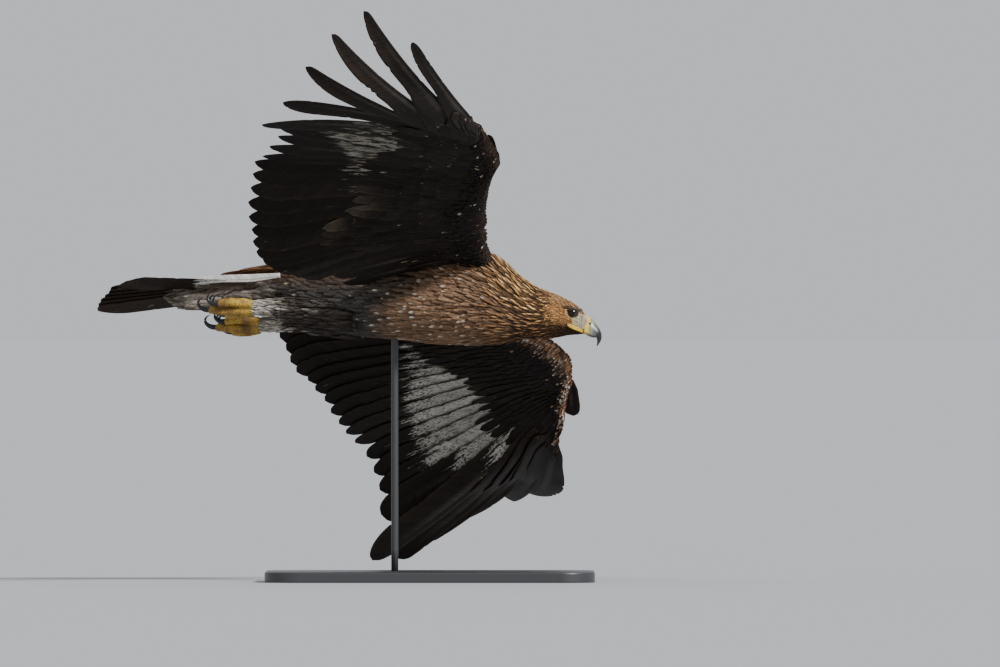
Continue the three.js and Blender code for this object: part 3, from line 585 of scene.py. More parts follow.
def claw_material():
    sh = Shader("claw", Roughness=0.30, Specular_IOR_Level=0.3, Coat_Weight=0.08, Coat_Roughness=0.15)
    streak = sh.noise(sh.stretched(0.3, 1, 1), 700.0)
    sh.bump(streak, 0.1, 0.0003)
    return sh.colour(sh.mix(sh.range(streak, 0.3, 0.7), (0.007, 0.007, 0.008), (0.024, 0.022, 0.021)))


# Eye: a painted ball with darker clouds in the iris, under a clear coat
def eye_material():
    sh = Shader("eye", Roughness=0.08, Specular_IOR_Level=0.25, Coat_Weight=0.25, Coat_Roughness=0.02)
    cloud = sh.range(sh.noise(sh.place(), 1500.0), 0.3, 0.7, 0.0, 0.35)
    return sh.colour(sh.mix(cloud, sh.paint(), (0.01, 0.005, 0.003)))


def stand_material():
    sh = Shader("stand", Roughness=0.42, Metallic=0.0, Coat_Weight=0.15, Coat_Roughness=0.3)
    grain = sh.noise(sh.place(), 900.0, 2.0)
    sh.bump(grain, 0.15, 0.0003)
    return sh.colour(sh.mix(sh.range(grain, 0.2, 0.8), (0.020, 0.021, 0.023), (0.034, 0.035, 0.038)))


def floor_material():
    sh = Shader("floor", Roughness=0.85)
    return sh.colour(sh.mix(sh.noise(sh.place(), 3.0), (0.403, 0.408, 0.418), (0.418, 0.423, 0.433)))


FEATHER = feather_material()
SKIN = skin_material()
BILL = bill_material()
CERE = scaly_material("cere", (0.80, 0.62, 0.15), (0.70, 0.46, 0.06), 900.0, painted=True)
GAPE_SKIN = scaly_material("gape", (0.82, 0.54, 0.03), (0.70, 0.38, 0.02), 900.0)
TOE_SKIN = scaly_material("toe", (0.52, 0.33, 0.035), (0.17, 0.085, 0.012), 330.0, roughness=0.6)
LID_SKIN = scaly_material("lid", (0.13, 0.080, 0.045), (0.035, 0.022, 0.016), 1500.0)
# Near-black brow ridges: painted shadow over the eyes
BROW_SHADOW = scaly_material("brow", (0.050, 0.030, 0.020), (0.018, 0.011, 0.009), 1200.0, roughness=0.7)
CLAW = claw_material()
EYE = eye_material()
STAND = stand_material()


# Markings of the body by place: nape and neck golden, belly and back dark, under the tail grey. The chest is
# painted warm and light as painted sunlight, ahead of a slanted line along the near wing's cast shadow;
# behind that line the dark belly also serves as painted shadow
# Share of the painted sunlit chest: its edge slants back toward the underside along the near wing's cast
# shadow
def sunlit_chest_share(x, a):
    below = np.degrees(np.arcsin(-np.sin(a))).clip(-45, 45)
    return smooth(x - (20 - 2 * below), -15, 45)


def body_paint(x, a):
    under = smooth(-np.sin(a), -0.35, 0.6)
    tail = smooth(-x, 250, 330)
    neck = smooth(x, 118, 165)
    base = blend(blend(DARK_BROWN, WARM_BROWN, 0.55), BELLY, under)
    # Painted sunlight on the chest, with painted shadow of the near wing behind the slanted edge
    base = blend(base, SUNLIT_CHEST, sunlit_chest_share(x, a) * 0.9)
    base = blend(base, blend(WARM_BROWN, GOLD, 0.45), neck * (1 - 0.75 * under))
    end = smooth(-x, 335, 375)
    base = blend(base, blend(RUFOUS, WARM_BROWN, 0.5), tail * (1 - under) * (1 - end))
    return blend(base, (0.115, 0.098, 0.078), tail * np.maximum(under, end))


# Places in the bake map: forward and round the body
def body_bake(x, a):
    u = 0.02 + 0.6 * (np.asarray(x) + 450) / 730
    v = 0.02 + 0.5 * (np.asarray(a) % (2 * math.pi)) / (2 * math.pi)
    return u, v


# How deep the feathers' roots lie under the body's surface, by distance forward
COAT_DEPTH = [[-440, 5], [-250, 9], [100, 9], [160, 6], [215, 2.4], [250, 1.3], [272, 0.6]]


def coat_depth(x):
    return along(COAT_DEPTH, x, 1)


# Face: rise over the eye, hollow round it, dip before it and fold behind the mouth. Each row has the middle
# forward, up and aside, the reach in these three directions, the slant downward, and how far it stands out
EYE_AT = np.array([250.0, 19.3, -20.5])
EYE_RADIUS = 10.0
HEAD_MIDDLE = -32
FACE_RELIEF = [
    (254, -11.5, 23, 12, 3.4, 9, 0.45, 3.4), (252, -21, 28, 10, 7.5, 14, 0, -2.6),
    (264, -35, 19, 6, 9, 12, 0, -1.2), (232, -38, 30, 12, 11, 12, 0, 1.2),
]


def face_relief(x, y, z):
    total = 0
    for forward, up, aside, long, tall, deep, slant, rise in FACE_RELIEF:
        fallen = z + slant * (x - forward)
        far = ((x - forward) / long) ** 2 + ((fallen - up) / tall) ** 2 + ((np.abs(y) - aside) / deep) ** 2
        total = total + rise * np.exp(-far)
    return total


def head_point(x, a, grow=0.0):
    here = body_point(x, a, grow)
    own_x, own_y = own_place(here)
    out = unit((here - headed(point(own_x, 0, HEAD_MIDDLE))) * [0.3, 1, 1])
    return here + out * face_relief(own_x, own_y, here[..., 2])[..., None]


# A tube through the points of a path, by rows
def tube_points(path, radii, steps, sides):
    path = np.asarray(path, float)
    share = np.linspace(0, 1, len(path))
    fine = np.linspace(0, 1, steps)
    rows = [np.column_stack([share, path[:, k]]) for k in range(3)]
    centre = np.stack([along(row, fine, 1) for row in rows], -1)
    radius = along(np.column_stack([share, radii]), fine, 1)
    tangent = unit(np.gradient(centre, axis=0))
    first = unit(np.cross(tangent, [0, 0, 1.0]))
    second = np.cross(first, tangent)
    angle = np.arange(sides)[:, None] / sides * 2 * math.pi
    ring = first[:, None] * np.cos(angle) + second[:, None] * np.sin(angle)
    return centre[:, None] + ring * radius[:, None, None]


# Rows of points as a closed form, with a middle point at each end
def closed_tube(points):
    rows, columns = points.shape[:2]
    flat = np.concatenate([points.reshape(-1, 3), points[0].mean(0)[None], points[-1].mean(0)[None]])
    body = grid_faces(rows, columns, wrap=True)
    k = np.arange(columns)
    start = np.stack([np.full(columns, rows * columns), (k + 1) % columns, k], -1)
    base = (rows - 1) * columns
    end = np.stack([np.full(columns, rows * columns + 1), base + k, base + (k + 1) % columns], -1)
    return flat, body, np.concatenate([start, end])


# Legs from the thigh to the foot: distance forward, left, up, and radius
LEGS = {
    "right": [
        [-120, -34, -22, 34], [-175, -40, -18, 27], [-222, -46, -15, 20], [-262, -51, -13, 15],
        [-296, -54, -12, 13],
    ],
    "left": [
        [-120, 30, -34, 34], [-175, 22, -33, 26], [-222, 12, -34, 19], [-262, 5, -38.5, 14.5],
        [-296, 4, -41.5, 12.5],
    ],
}
LEG_FROM = -120
LEG_LENGTH = 176
LEG_BAKE = {"left": 0.1, "right": 0.3}

# How far the skin lies inside the arm's and the leg's surface
ARM_SKIN = 2.0
LEG_SKIN = 3.0


def leg_path(name):
    rows = np.array(LEGS[name], float)
    return headed(rows[:, :3]), rows[:, 3]


def leg_paint(x):
    return blend(blend(PALE_GREY, BUFF, 0.3) * 0.8, blend(DARK_BROWN, BELLY, 0.6), smooth(x, -248, -214))


def gather(forms):
    points, quads, triangles, count = [], [], [], 0
    for form in forms:
        flat, body, ends = closed_tube(form)
        quads.append(body + count)
        triangles.append(ends + count)
        points.append(flat)
        count += len(flat)
    return np.concatenate(points), [np.concatenate(quads), np.concatenate(triangles)]


# One piece of closed forms
def new_solid(name, forms, material, smooth_shade=True):
    points, faces = gather(forms)
    return new_object(name, to_scene(points), faces, material, smooth_shade)


# Skin: body, arms and legs as closed forms inside the coat, each with paint and places in the bake map
def body_skin():
    x = np.concatenate([np.linspace(-438, 195, 90), np.linspace(198, 270, 60)])
    x, a = np.meshgrid(x, np.arange(96) / 96 * 2 * math.pi, indexing="ij")
    surface = head_point(x, a, -coat_depth(x))
    lores = lores_share(x, surface[..., 2]) * (x > LEVEL_FROM)
    return surface, blend(body_paint(x, a) * 0.8, (0.42, 0.38, 0.30), lores), body_bake(x, a)


def arm_skin(wing):
    i, c = np.meshgrid(np.linspace(SHOULDER, LAST_PRIMARY, 90), np.linspace(-0.93, 1, 14), indexing="ij")
    above, below = (arm_point(wing, i, c, face, -ARM_SKIN) for face in (1, -1))
    ring = np.concatenate([above, below[:, ::-1][:, 1:-1]], 1)
    bake = wing_bake(wing, i[:, :1], np.linspace(0, 1, ring.shape[1]), 0.0)
    return ring, blend(BLACK_BROWN, DARK_BROWN, 0.4), bake


def leg_skin(name):
    path, radii = leg_path(name)
    share = np.linspace(0, 1, 40)[:, None]
    bake = (0.65 + 0.1 * share, LEG_BAKE[name] + 0.15 * np.arange(32) / 32)
    return tube_points(path, radii - LEG_SKIN, 40, 32), leg_paint(LEG_FROM - LEG_LENGTH * share), bake


def make_skin():
    skins = [body_skin()] + [arm_skin(wing) for wing in WINGS] + [leg_skin(name) for name in LEGS]
    paints, uvs = [], []
    for form, paint, bake in skins:
        paint = np.broadcast_to(paint, form.shape).reshape(-1, 3)
        uv = np.stack(np.broadcast_arrays(*bake), -1).reshape(-1, 2)
        paints.append(np.concatenate([paint, paint[[0, -1]]]))
        uvs.append(np.concatenate([uv, uv[[0, -1]]]))
    skin = new_solid("skin", [form for form, _, _ in skins], SKIN)
    set_paint(skin, np.concatenate(paints))
    set_bake_map(skin, np.concatenate(uvs))
    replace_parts(skin, "torso", "neck", "head", "leg_right", "leg_left")


# Places in the bake map for a wing: along it by feather number, across it by share, and by face
def wing_bake(wing, i, share, level):
    u = 0.02 + 0.30 * share + 0.32 * level
    v = (0.55 if wing["side"] < 0 else 0.78) + 0.20 * (np.asarray(i) + 4) / 25
    return u * np.ones_like(v), v * np.ones_like(u)


# The eye's opening, which stays free of feathers, and of the lores' bristles a little less
FEATHERS_OFF_EYE = 10.4
LORES_OFF_EYE = 9.6


def near_eye(x, here, reach):
    own = point(x, np.abs(own_place(here)[1]), here[:, 2])
    return np.linalg.norm((own - EYE_AT - [1, 6, 0]) / [1.15, 1, 1], axis=-1) < reach


# Feathers under the tail whose middle would lie in the space round a claw, in metres, are left out
UNDERTAIL = -330
TO_MIDDLE = 17
CLAW_CLEAR = 0.009


def over_claw(middle):
    covered = np.zeros(len(middle), bool)
    for node in [f"claw_{side}_{n}" for side in LEGS for n in range(1, len(TOES) + 1)]:
        low, high = (np.array(corner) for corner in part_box(node))
        away = (to_scene(middle) - (low + high) / 2) / ((high - low) / 2 + CLAW_CLEAR)
        covered |= np.linalg.norm(away, axis=-1) < 1.1
    return covered


# Coat of the body: rows of small feathers, staggered, from the tail's root to the bill
JITTER = 0.22


def body_rows(low, high, pitch_back, pitch_round):
    xs, angles = [], []
    x = low
    while x < high:
        wide = float(along(BODY, x, 3))
        tall = float(along(BODY, x, 1) - along(BODY, x, 2)) / 2
        around = math.pi * (3 * (wide + tall) - math.sqrt((3 * wide + tall) * (wide + 3 * tall)))
        n = max(int(around / pitch_round), 8)
        angles.append((np.arange(n) + 0.5 * (len(xs) % 2)) / n * 2 * math.pi)
        xs.append(np.full(n, x))
        x += pitch_back
    x = np.concatenate(xs)
    a = np.concatenate(angles)
    x = x + RANDOM.normal(0, JITTER, len(x)) * pitch_back
    a = a + RANDOM.normal(0, JITTER, len(a)) * pitch_round / 60
    return x, a


# Length and width are tables by distance forward, and pitch is how far feathers are apart, back and round
def body_feathers(plumage, low, high, pitch, length, width, shape, paint, lift, curl):
    x, a = body_rows(low, high, *pitch)
    depth = coat_depth(x) * (0.75 - 0.35 * (1 - smooth(x, 130, 200)))
    here, back, out = body_frame(x, a, -depth)
    if high > HEAD_FROM:
        here = head_point(x, a, -depth)
    keep = ~near_eye(x, here, FEATHERS_OFF_EYE)
    if high > HEAD_FROM:
        keep &= lores_share(x, here[:, 2]) < 0.5
    if low < UNDERTAIL:
        keep &= ~over_claw(here + back * TO_MIDDLE)
    x, a, here, back, out = x[keep], a[keep], here[keep], back[keep], out[keep]
    n = len(x)
    aim = turned(back, out, RANDOM.normal(0, 0.10, n))
    long = along(length, x, 1) * RANDOM.uniform(0.85, 1.15, n)
    wide = along(width, x, 1) * RANDOM.uniform(0.85, 1.12, n)
    small_feathers(plumage, here, aim, out, long, wide, paint(x, a), body_bake(x, a), shape,
                   lift * RANDOM.uniform(0.6, 1.4, n), curl)


# Paint of one colour each that brightens from the root to the tip: the darker root is painted shade where the
# feathers overlap
def brightening(base, root, gain, start, end):
    def paint(s, t):
        return base * (root + gain * float(smooth(s, start, end)))

    return paint


# Torso feathers: dark with paler rims and painted shade at the roots, mottled under the tail; some have pale
# tips, more of them on the chest
def torso_paint(x, a):
    tail = smooth(-x, 235, 300)
    base = body_paint(x, a) * RANDOM.uniform(0.72, 1.3, len(x))[:, None]
    mottled = tail * smooth(-np.sin(a), -0.3, 0.3) * RANDOM.random(len(x)) ** 2
    base = blend(base, (0.30, 0.265, 0.215), mottled)
    under = smooth(-np.sin(a), -0.5, 0.4)
    here = body_point(x, a)
    thigh = np.exp(-((x + 158) / 34) ** 2) * smooth(-here[:, 2], 2, 14) * (here[:, 1] < 25)
    fleck = RANDOM.random(len(x)) < 0.02 + (0.03 + 0.11 * sunlit_chest_share(x, a)) * under + 0.35 * thigh
    pale = blend(BUFF, WHITE, RANDOM.random(len(x)))
    rim = blend(base, base * 1.7 + 0.003, 0.7)

    def paint(s, t):
        edged = blend(base, rim, smooth(s, 0.6, 1.0) * (0.55 + 0.45 * abs(t)))
        # Painted shade: each feather's root half darker, where it lies under the next feather
        deep = edged * (0.72 + 0.28 * float(smooth(s, 0.0, 0.5)))
        return blend(deep, pale, fleck * float(smooth(s, 0.72, 0.95)) * (0.9 if t == 0 else 0.5))

    return paint


# Hackles: dark brown below, and over them narrow golden lances with gaps between
def under_hackle_paint(x, a):
    upper = smooth(np.sin(a), -0.55, 0.25)
    dark, warm = blend(DARK_BROWN, WARM_BROWN, 0.35), blend(WARM_BROWN, RUFOUS, 0.35)
    base = blend(dark, warm, 0.6 * smooth(x, 190, 225))
    # The lower neck beside the chest takes the chest's painted sunlight
    base = blend(base, SUNLIT_CHEST, (1 - smooth(x, 130, 165)) * (1 - upper))
    base = blend(base, blend(WARM_BROWN, GOLD, 0.25), 0.2 * upper) * RANDOM.uniform(0.7, 1.3, len(x))[:, None]
    return brightening(base, 0.30, 0.70, 0.1, 0.9)


def hackle_paint(x, a):
    upper = smooth(np.sin(a), -0.75, 0.2)
    strength = smooth(x, 116, 150) * (0.15 + 0.85 * upper) * (1 - 0.5 * smooth(x, 205, 226))
    bright = RANDOM.random(len(x))
    gold = blend(GOLD, HACKLE_PALE, bright ** 2)
    tip = blend(blend(WARM_BROWN, RUFOUS, 0.7), gold, strength * (0.35 + 0.65 * bright))
    root = blend(DARK_BROWN, WARM_BROWN, 0.05)

    def paint(s, t):
        return blend(root, tip, float(smooth(s, 0.25, 0.7)) * (1.0 if t == 0 else 0.55))

    return paint


# Cap and cheeks: very short feathers, buff brown above, tan on the cheek, darker on the throat, and darker in
# a band over the eye as painted shadow of the brow ridge
def face_paint(x, a):
    upper = smooth(np.sin(a), -0.6, 0.0)
    crown = smooth(np.sin(a), 0.3, 0.9)
    height = head_point(x, a)[:, 2]
    # Band over the eye darkened as painted shadow under the brow ridge
    brow = np.exp(-((height + 12 + 0.2 * (x - 241)) / 2.1) ** 2) * smooth(x, 234, 242)
    base = blend(blend(DARK_BROWN, WARM_BROWN, 0.5), (0.42, 0.215, 0.080), upper)
    base = blend(base, (0.34, 0.205, 0.105), 0.75 * crown)
    base = blend(base, blend(BLACK_BROWN, DARK_BROWN, 0.6), brow * (crown < 0.9) * 0.9)
    return brightening(base * RANDOM.uniform(0.55, 1.35, len(x))[:, None], 0.30, 0.85, 0.15, 0.9)


# Lores: fine pale bristles between the eye and the cere
LORES = {"from": 252, "top": -17, "low": -47}


def lores_share(x, height):
    upper_edge = smooth(LORES["top"] - 0.55 * (x - 256) - height, 0, 3)
    lower_edge = smooth(height - LORES["low"] + 0.75 * (x - 256), 0, 3)
    return smooth(x, LORES["from"] - 2, LORES["from"] + 2) * upper_edge * lower_edge


def make_lores(plumage):
    x, a = np.meshgrid(np.arange(254, 270.6, 1.1), np.arange(0, 360, 2.6), indexing="ij")
    x = (x + RANDOM.normal(0, 0.3, x.shape)).ravel()
    a = np.radians(a + RANDOM.normal(0, 0.7, a.shape)).ravel()
    here = head_point(x, a, -0.8)
    keep = (lores_share(x, here[:, 2]) > 0.5) & ~near_eye(x, here, LORES_OFF_EYE)
    x, a, here = x[keep], a[keep], here[keep]
    _, back, out = body_frame(x, a)
    n = len(x)
    pale = blend((0.36, 0.31, 0.18), (0.74, 0.67, 0.47), RANDOM.random(n)) * 0.95
    aim = turned(back, out, RANDOM.normal(0, 0.45, n)) * np.where(x > 264, -1, 1)[:, None]
    small_feathers(plumage, here, aim, out, RANDOM.uniform(3.5, 6, n), 1.15,
                   brightening(pale, 0.45, 0.6, 0.1, 0.8), body_bake(x, a), POINTED_SHAPE, 0.22, 0.10)


def make_body_coat():
    belly = Plumage()
    body_feathers(belly, -425, -215, (8, 8), [[-430, 34], [-215, 36]], [[-430, 14], [-215, 14]],
                  TORSO_SHAPE, torso_paint, 0.08, 0.07)
    body_feathers(belly, -220, 128, (7.4, 7.0), [[-220, 36], [0, 30], [130, 26]], [[-220, 14], [130, 10]],
                  TORSO_SHAPE, torso_paint, 0.11, 0.09)
    belly.build("coat_body")
    neck = Plumage()
    body_feathers(neck, 108, 226, (5.0, 4.6), [[100, 32], [226, 15]], [[100, 9.5], [226, 4.4]],
                  POINTED_SHAPE, under_hackle_paint, 0.15, 0.13)
    body_feathers(neck, 128, 226, (7.0, 7.6), [[118, 30], [226, 14]], [[118, 7.2], [226, 3.8]],
                  POINTED_SHAPE, hackle_paint, 0.24, 0.15)
    neck.build("hackles")
    face = Plumage()
    body_feathers(face, 214, 268, (2.2, 2.3), [[214, 14], [268, 5.0]], [[214, 3.6], [268, 2.2]],
                  POINTED_SHAPE, face_paint, 0.15, 0.10)
    make_lores(face)
    face.build("coat_head")


# Flight feathers
FINGER_TIPS = (0.96, 0.74)


def rounded_end(s, start):
    return np.sqrt(np.clip(1 - ((s - start) / (1 - start)).clip(0) ** 2, 0.0025, 1))


def finger_share(i):
    return float(smooth(i, FIRST_FINGER, FIRST_FINGER + 3))


# Widths ahead of the shaft and behind it
def feather_outline(wing, i, s):
    finger = finger_share(i)
    outer = float(smooth(i, LAST_PRIMARY - 1, LAST_PRIMARY))
    slot_lead, slot_trail = wing["slots"]
    lead = (21 - 3 * finger) * (1 - slot_lead * finger * smooth(s, 0.14, 0.40))
    lead = lead * (1 - outer) + along(wing["outer_lead"], s, 1) * outer
    trail = (35 + wing["broad"] * float(smooth(i, 14, 16.5))) * (1 - 0.35 * outer)
    trail = trail * (1 - slot_trail * finger * smooth(s, 0.34, 0.60))
    start = smooth(s, -0.03, 0.2) * 0.8 + 0.2
    lead_end, trail_end = (tip * (1 - finger) + own * finger for tip, own in zip(wing["tips"], FINGER_TIPS))
    lead_end = lead_end * (1 - outer) + wing["outer_tip"] * outer
    sharp = wing["point"] * (1 - finger) + (1.45 - 0.45 * outer) * finger
    return lead * start * rounded_end(s, lead_end), trail * start * rounded_end(s, trail_end) ** sharp


# Notches where the barbs of a vane have parted
def notched(width, s, count, seed):
    source = np.random.default_rng(seed)
    for place in source.uniform(0.35, 0.97, count):
        deep = source.uniform(0.02, 0.13)
        width = width * (1 - deep * bell((s - place) / source.uniform(0.004, 0.010)))
    return width


# Stations by share of a feather's length, closer together toward the round tip
def tip_stations(first, last, count, tip, tip_count):
    round_tip = 1 - tip * np.cos(np.linspace(0.2, math.pi / 2, tip_count))
    return np.concatenate([np.linspace(first, last, count), round_tip])


STATIONS = tip_stations(-0.02, 0.80, 50, 0.18, 22)

# The pale patch of a flight feather's underside: feather, start and end by share of length, strength
PALE_PATCH = {
    "right": [
        [-4, 0.5, 0.5, 0], [4, 0.5, 0.5, 0], [7, 0.53, 0.57, 0.35], [8.6, 0.52, 0.61, 0.5],
        [10, 0.52, 0.62, 0.55], [12, 0.50, 0.66, 0.56], [13.3, 0.46, 0.72, 0.6], [14.2, 0.40, 0.78, 0.64],
        [15.2, 0.36, 0.80, 0.64], [16, 0.36, 0.66, 0.45], [17, 0.4, 0.5, 0], [21, 0.3, 0.3, 0],
    ],
    "left": [
        [-4, 0.5, 0.5, 0], [1, 0.46, 0.5, 0.3], [2.8, 0.44, 0.53, 0.5], [4.7, 0.44, 0.57, 0.6],
        [6.4, 0.40, 0.61, 0.8], [8, 0.36, 0.65, 0.95], [10, 0.34, 0.73, 1], [12, 0.36, 0.79, 1],
        [13.3, 0.36, 0.79, 1], [14.2, 0.32, 0.76, 1], [15, 0.26, 0.62, 1], [15.6, 0.24, 0.48, 0.9],
        [16.3, 0.2, 0.36, 0.5], [17, 0.2, 0.2, 0], [21, 0.2, 0.2, 0],
    ],
}


def flight_paint(i):
    shade = RANDOM.uniform(0.8, 1.25)
    finger = finger_share(i)
    rim = blend(DARK_BROWN, WARM_BROWN, 0.4)

    def paint(s, t, face):
        colour = blend(DARK_BROWN, WARM_BROWN, 0.4 * (1 - finger)) if face > 0 else UNDER_BROWN
        # Painted light: the fingers' trailing vanes turn browner toward the tips, standing for light shining
        # through them
        colour = blend(colour, DARK_BROWN, 0.6 * finger * smooth(-t, 0.1, 0.9) * smooth(s, 0.5, 0.8))
        colour = blend(colour, rim, 0.25 * smooth(np.abs(t), 0.9, 1.0))
        shaft = bell(t / 0.07) * (1 - smooth(s, 0.55, 0.95))
        return blend(colour * shade, blend(BUFF, PALE_GREY, 0.5) * 0.4, 0.25 * shaft)

    return paint


# How pale, how much specked and how white the pale is
def flight_mark(wing, i):
    start, end, strength = (float(along(PALE_PATCH[wing["name"]], i, c)) for c in (1, 2, 3))
    specked, white = (0.3, 0.06) if wing["side"] < 0 else (1, 0.28)

    def mark(s, t, face):
        reach = end - 0.07 * np.abs(t)
        inside = smooth(s, start - 0.10, start + 0.04) * (1 - smooth(s, reach - 0.10, reach + 0.08))
        shaft = 1 - 0.35 * bell(t / 0.10) - 0.4 * smooth(np.abs(t), 0.72, 1.0)
        pale = strength * inside * shaft * (0.95 if face < 0 else 0.12)
        return point(pale, (0.45 + 0.55 * smooth(s, end - 0.3, end)) * specked, white)

    return mark


def no_mark(s, t, face):
    return np.zeros(s.shape + (3,))


def make_flight_feathers(wing):
    plumage = Plumage()
    column = 0.70 if wing["side"] < 0 else 0.84
    for i in range(-TERTIALS, LAST_PRIMARY + 1):
        length = float(along(wing["fan"], i, 3)) * RANDOM.uniform(0.985, 1.0)
        lead, trail = feather_outline(wing, i, STATIONS)
        lead = notched(lead, STATIONS, 3, 40 + i)
        trail = notched(trail, STATIONS, 7, 80 + i)

        def place(s, a, w, i=i, length=length):
            return feather_place(wing, i, s * length, a, w)

        bake = (column + 0.03 * (i % 4), 0.03 + 0.13 * ((i + 4) // 4), 0.12)
        fine_vane(plumage, place, STATIONS, lead, trail, 0.9, flight_paint(i), flight_mark(wing, i), bake,
                  length)
    piece = plumage.build(f"flight_feathers_{wing['name']}")
    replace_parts(piece, f"wing_{wing['name']}")


# Greater and median coverts follow the wing's surface like scales, in rows above and below. A row ends at a
# share of the flight feathers' length, times its reach below the wing, which is long in the near wing's arm
COVERT_REACH = {
    "right": [
        [-4, 1.5], [2, 1.9], [4.5, 2.15], [6, 1.75], [8, 1.62], [12, 1.66], [13.5, 1.5], [15, 1.25],
        [17, 1.45], [18.5, 1.15], [21, 0.9],
    ],
    "left": [
        [-4, 1.1], [4, 1.33], [6.5, 1.26], [8.7, 1.12], [10, 1.15], [12, 1.33], [13.3, 1.3], [14.4, 1.15],
        [15.1, 0.92], [16.5, 0.62], [18, 0.7], [21, 0.7],
    ],
}
COVERT_ROWS = [
    {"face": -1, "end": 0.33, "long": 96, "half": 14, "lift": 4.4, "step": 0.8, "grey": 1.0},
    {"face": -1, "end": 0.275, "long": 84, "half": 13.5, "lift": 5.4, "step": 0.72, "grey": 0.6},
    {"face": -1, "end": 0.22, "long": 72, "half": 13, "lift": 6.4, "step": 0.66, "grey": 0.12},
    {"face": -1, "end": 0.165, "long": 62, "half": 12, "lift": 7.4, "step": 0.6, "grey": 0.12},
    {"face": -1, "end": 0.115, "long": 52, "half": 11, "lift": 8.6, "step": 0.56, "grey": 0.12},
    {"face": 1, "end": 0.37, "long": 120, "half": 14, "lift": 4.2, "step": 0.85, "grey": 0},
    {"face": 1, "end": 0.29, "long": 98, "half": 13.5, "lift": 5.4, "step": 0.75, "grey": 0},
    {"face": 1, "end": 0.215, "long": 76, "half": 12.5, "lift": 6.8, "step": 0.66, "grey": 0},
    {"face": 1, "end": 0.145, "long": 58, "half": 11, "lift": 8.4, "step": 0.58, "grey": 0},
]
COVERT_STATIONS = np.array([0, 0.25, 0.5, 0.7, 0.85, 0.94, 1.0])

# Coverts count the flight feathers' length no further than this, and take this much of the bake map each
COVERTS_FOLLOW = 440
COVERT_BAKE = 0.003


# Coverts' paint: greyish toward the tips in a band of the near wing, some with a pale spot at the tip
def covert_paint(wing, row, i):
    near, under = wing["side"] < 0, row["face"] < 0
    shade = RANDOM.uniform(0.7, 1.35)
    band = math.exp(-((i - 5.8) / 2.6) ** 2) if near else 0.15 * (1 - float(smooth(i, 9, 12)))
    greyish = RANDOM.uniform(0.15, 0.6) * band * row["grey"]
    spotted = RANDOM.random() < ((0.08 if row["end"] > 0.3 else 0.5) if near else 0.06)
    spot_size = RANDOM.uniform(0.15, 0.35)
    base = (UNDER_BROWN if under else blend(DARK_BROWN, WARM_BROWN, 0.55)) * shade
    rimmed = (0.09 if under else 0.35) + 0.4 * greyish

    def paint(s, t, face):
        colour = blend(base, (0.085, 0.068, 0.052), greyish * smooth(s, 0.45, 0.95))
        rim = smooth(np.abs(t), 0.8, 1.0) * smooth(s, 0.4, 0.9)
        colour = blend(colour, blend(WARM_BROWN, BUFF, 0.3), rimmed * rim)
        spot = bell(t / spot_size) * smooth(s, 0.90, 0.98)
        return blend(colour, blend(WARM_BROWN, BUFF, 0.85), 0.9 * spotted * spot)

    return paint


def add_covert(plumage, wing, row, i, u):
    face = row["face"]
    reach = row["end"] * (float(along(COVERT_REACH[wing["name"]], i, 1)) if face < 0 else 1)
    end = min(float(along(wing["fan"], i, 3)), COVERTS_FOLLOW) * reach * RANDOM.uniform(0.96, 1.04)
    root = max(end - row["long"], -3)
    length = end - root
    half = row["half"] * (1 - 0.12 * float(smooth(i, 12, 16)))
    width = half * (0.5 + 0.5 * smooth(COVERT_STATIONS, 0, 0.4))
    width = width * rounded_end(COVERT_STATIONS, RANDOM.uniform(0.3, 0.6))
    near = float(1 - smooth(i, -3, 1)) * 0.4
    lean = RANDOM.normal(0, 3.0)

    def place(s, a, w):
        lift = face * row["lift"] * (0.4 + 0.6 * smooth(s, 0.0, 0.45)) * (1 - 0.2 * smooth(s, 0.7, 1.0))
        return feather_place(wing, i, root + s * length, a + lean * s * s, w + lift + near)

    bake = (*wing_bake(wing, i, u, 0.0 if face < 0 else 1.0), COVERT_BAKE)
    lead = np.minimum(width, 4 + (LAST_PRIMARY - i) * 6)
    paint = covert_paint(wing, row, i)
    fine_vane(plumage, place, COVERT_STATIONS, lead, width, 0.6, paint, no_mark, bake, length)


def make_coverts(wing):
    plumage = Plumage()
    for n, row in enumerate(COVERT_ROWS):
        i = -3.0
        while i <= LAST_PRIMARY:
            add_covert(plumage, wing, row, i, 0.35 + 0.1 * (n % 3))
            i += row["step"] * RANDOM.uniform(0.92, 1.08)
    plumage.build(f"coverts_{wing['name']}")


# Lesser coverts: small feathers in close rows from the leading edge to past the bones, on both faces
def lesser_paint(wing, c, face):
    n = len(c)
    left = wing["side"] > 0
    edge = (1 - smooth(c, -0.95, -0.45)) * (1 if left else 0.12) if face < 0 else 1 - smooth(c, -0.9, 0.1)
    base = (UNDER_BROWN if face < 0 else blend(DARK_BROWN, WARM_BROWN, 0.6)) * np.ones((n, 1))
    copper = blend(DARK_BROWN, RUFOUS, RANDOM.uniform(0.0, 1.0, n) ** 1.6)
    base = blend(base, copper, edge * 0.9)
    base = base * RANDOM.uniform(0.6, 1.4, n)[:, None]
    flecked = 0.04 + 0.5 * edge if left else 0.02 + 0.05 * edge + 0.08 * smooth(c, 0.1, 0.7)
    fleck = RANDOM.random(n) < flecked
    pale = blend(blend(RUFOUS, BUFF, 0.5), WHITE, RANDOM.random(n) * (0.35 + 0.6 * edge))

    def paint(s, t):
        colour = blend(base, base * 1.6 + 0.003, float(smooth(s, 0.55, 1.0)) * (0.5 + 0.5 * abs(t)))
        # Painted shade: darker toward the root, where each feather lies under the next
        colour = colour * (0.6 + 0.4 * float(smooth(s, 0, 0.5)))
        return blend(colour, pale, fleck * float(smooth(s, 0.6, 0.9)) * 0.9)

    return paint


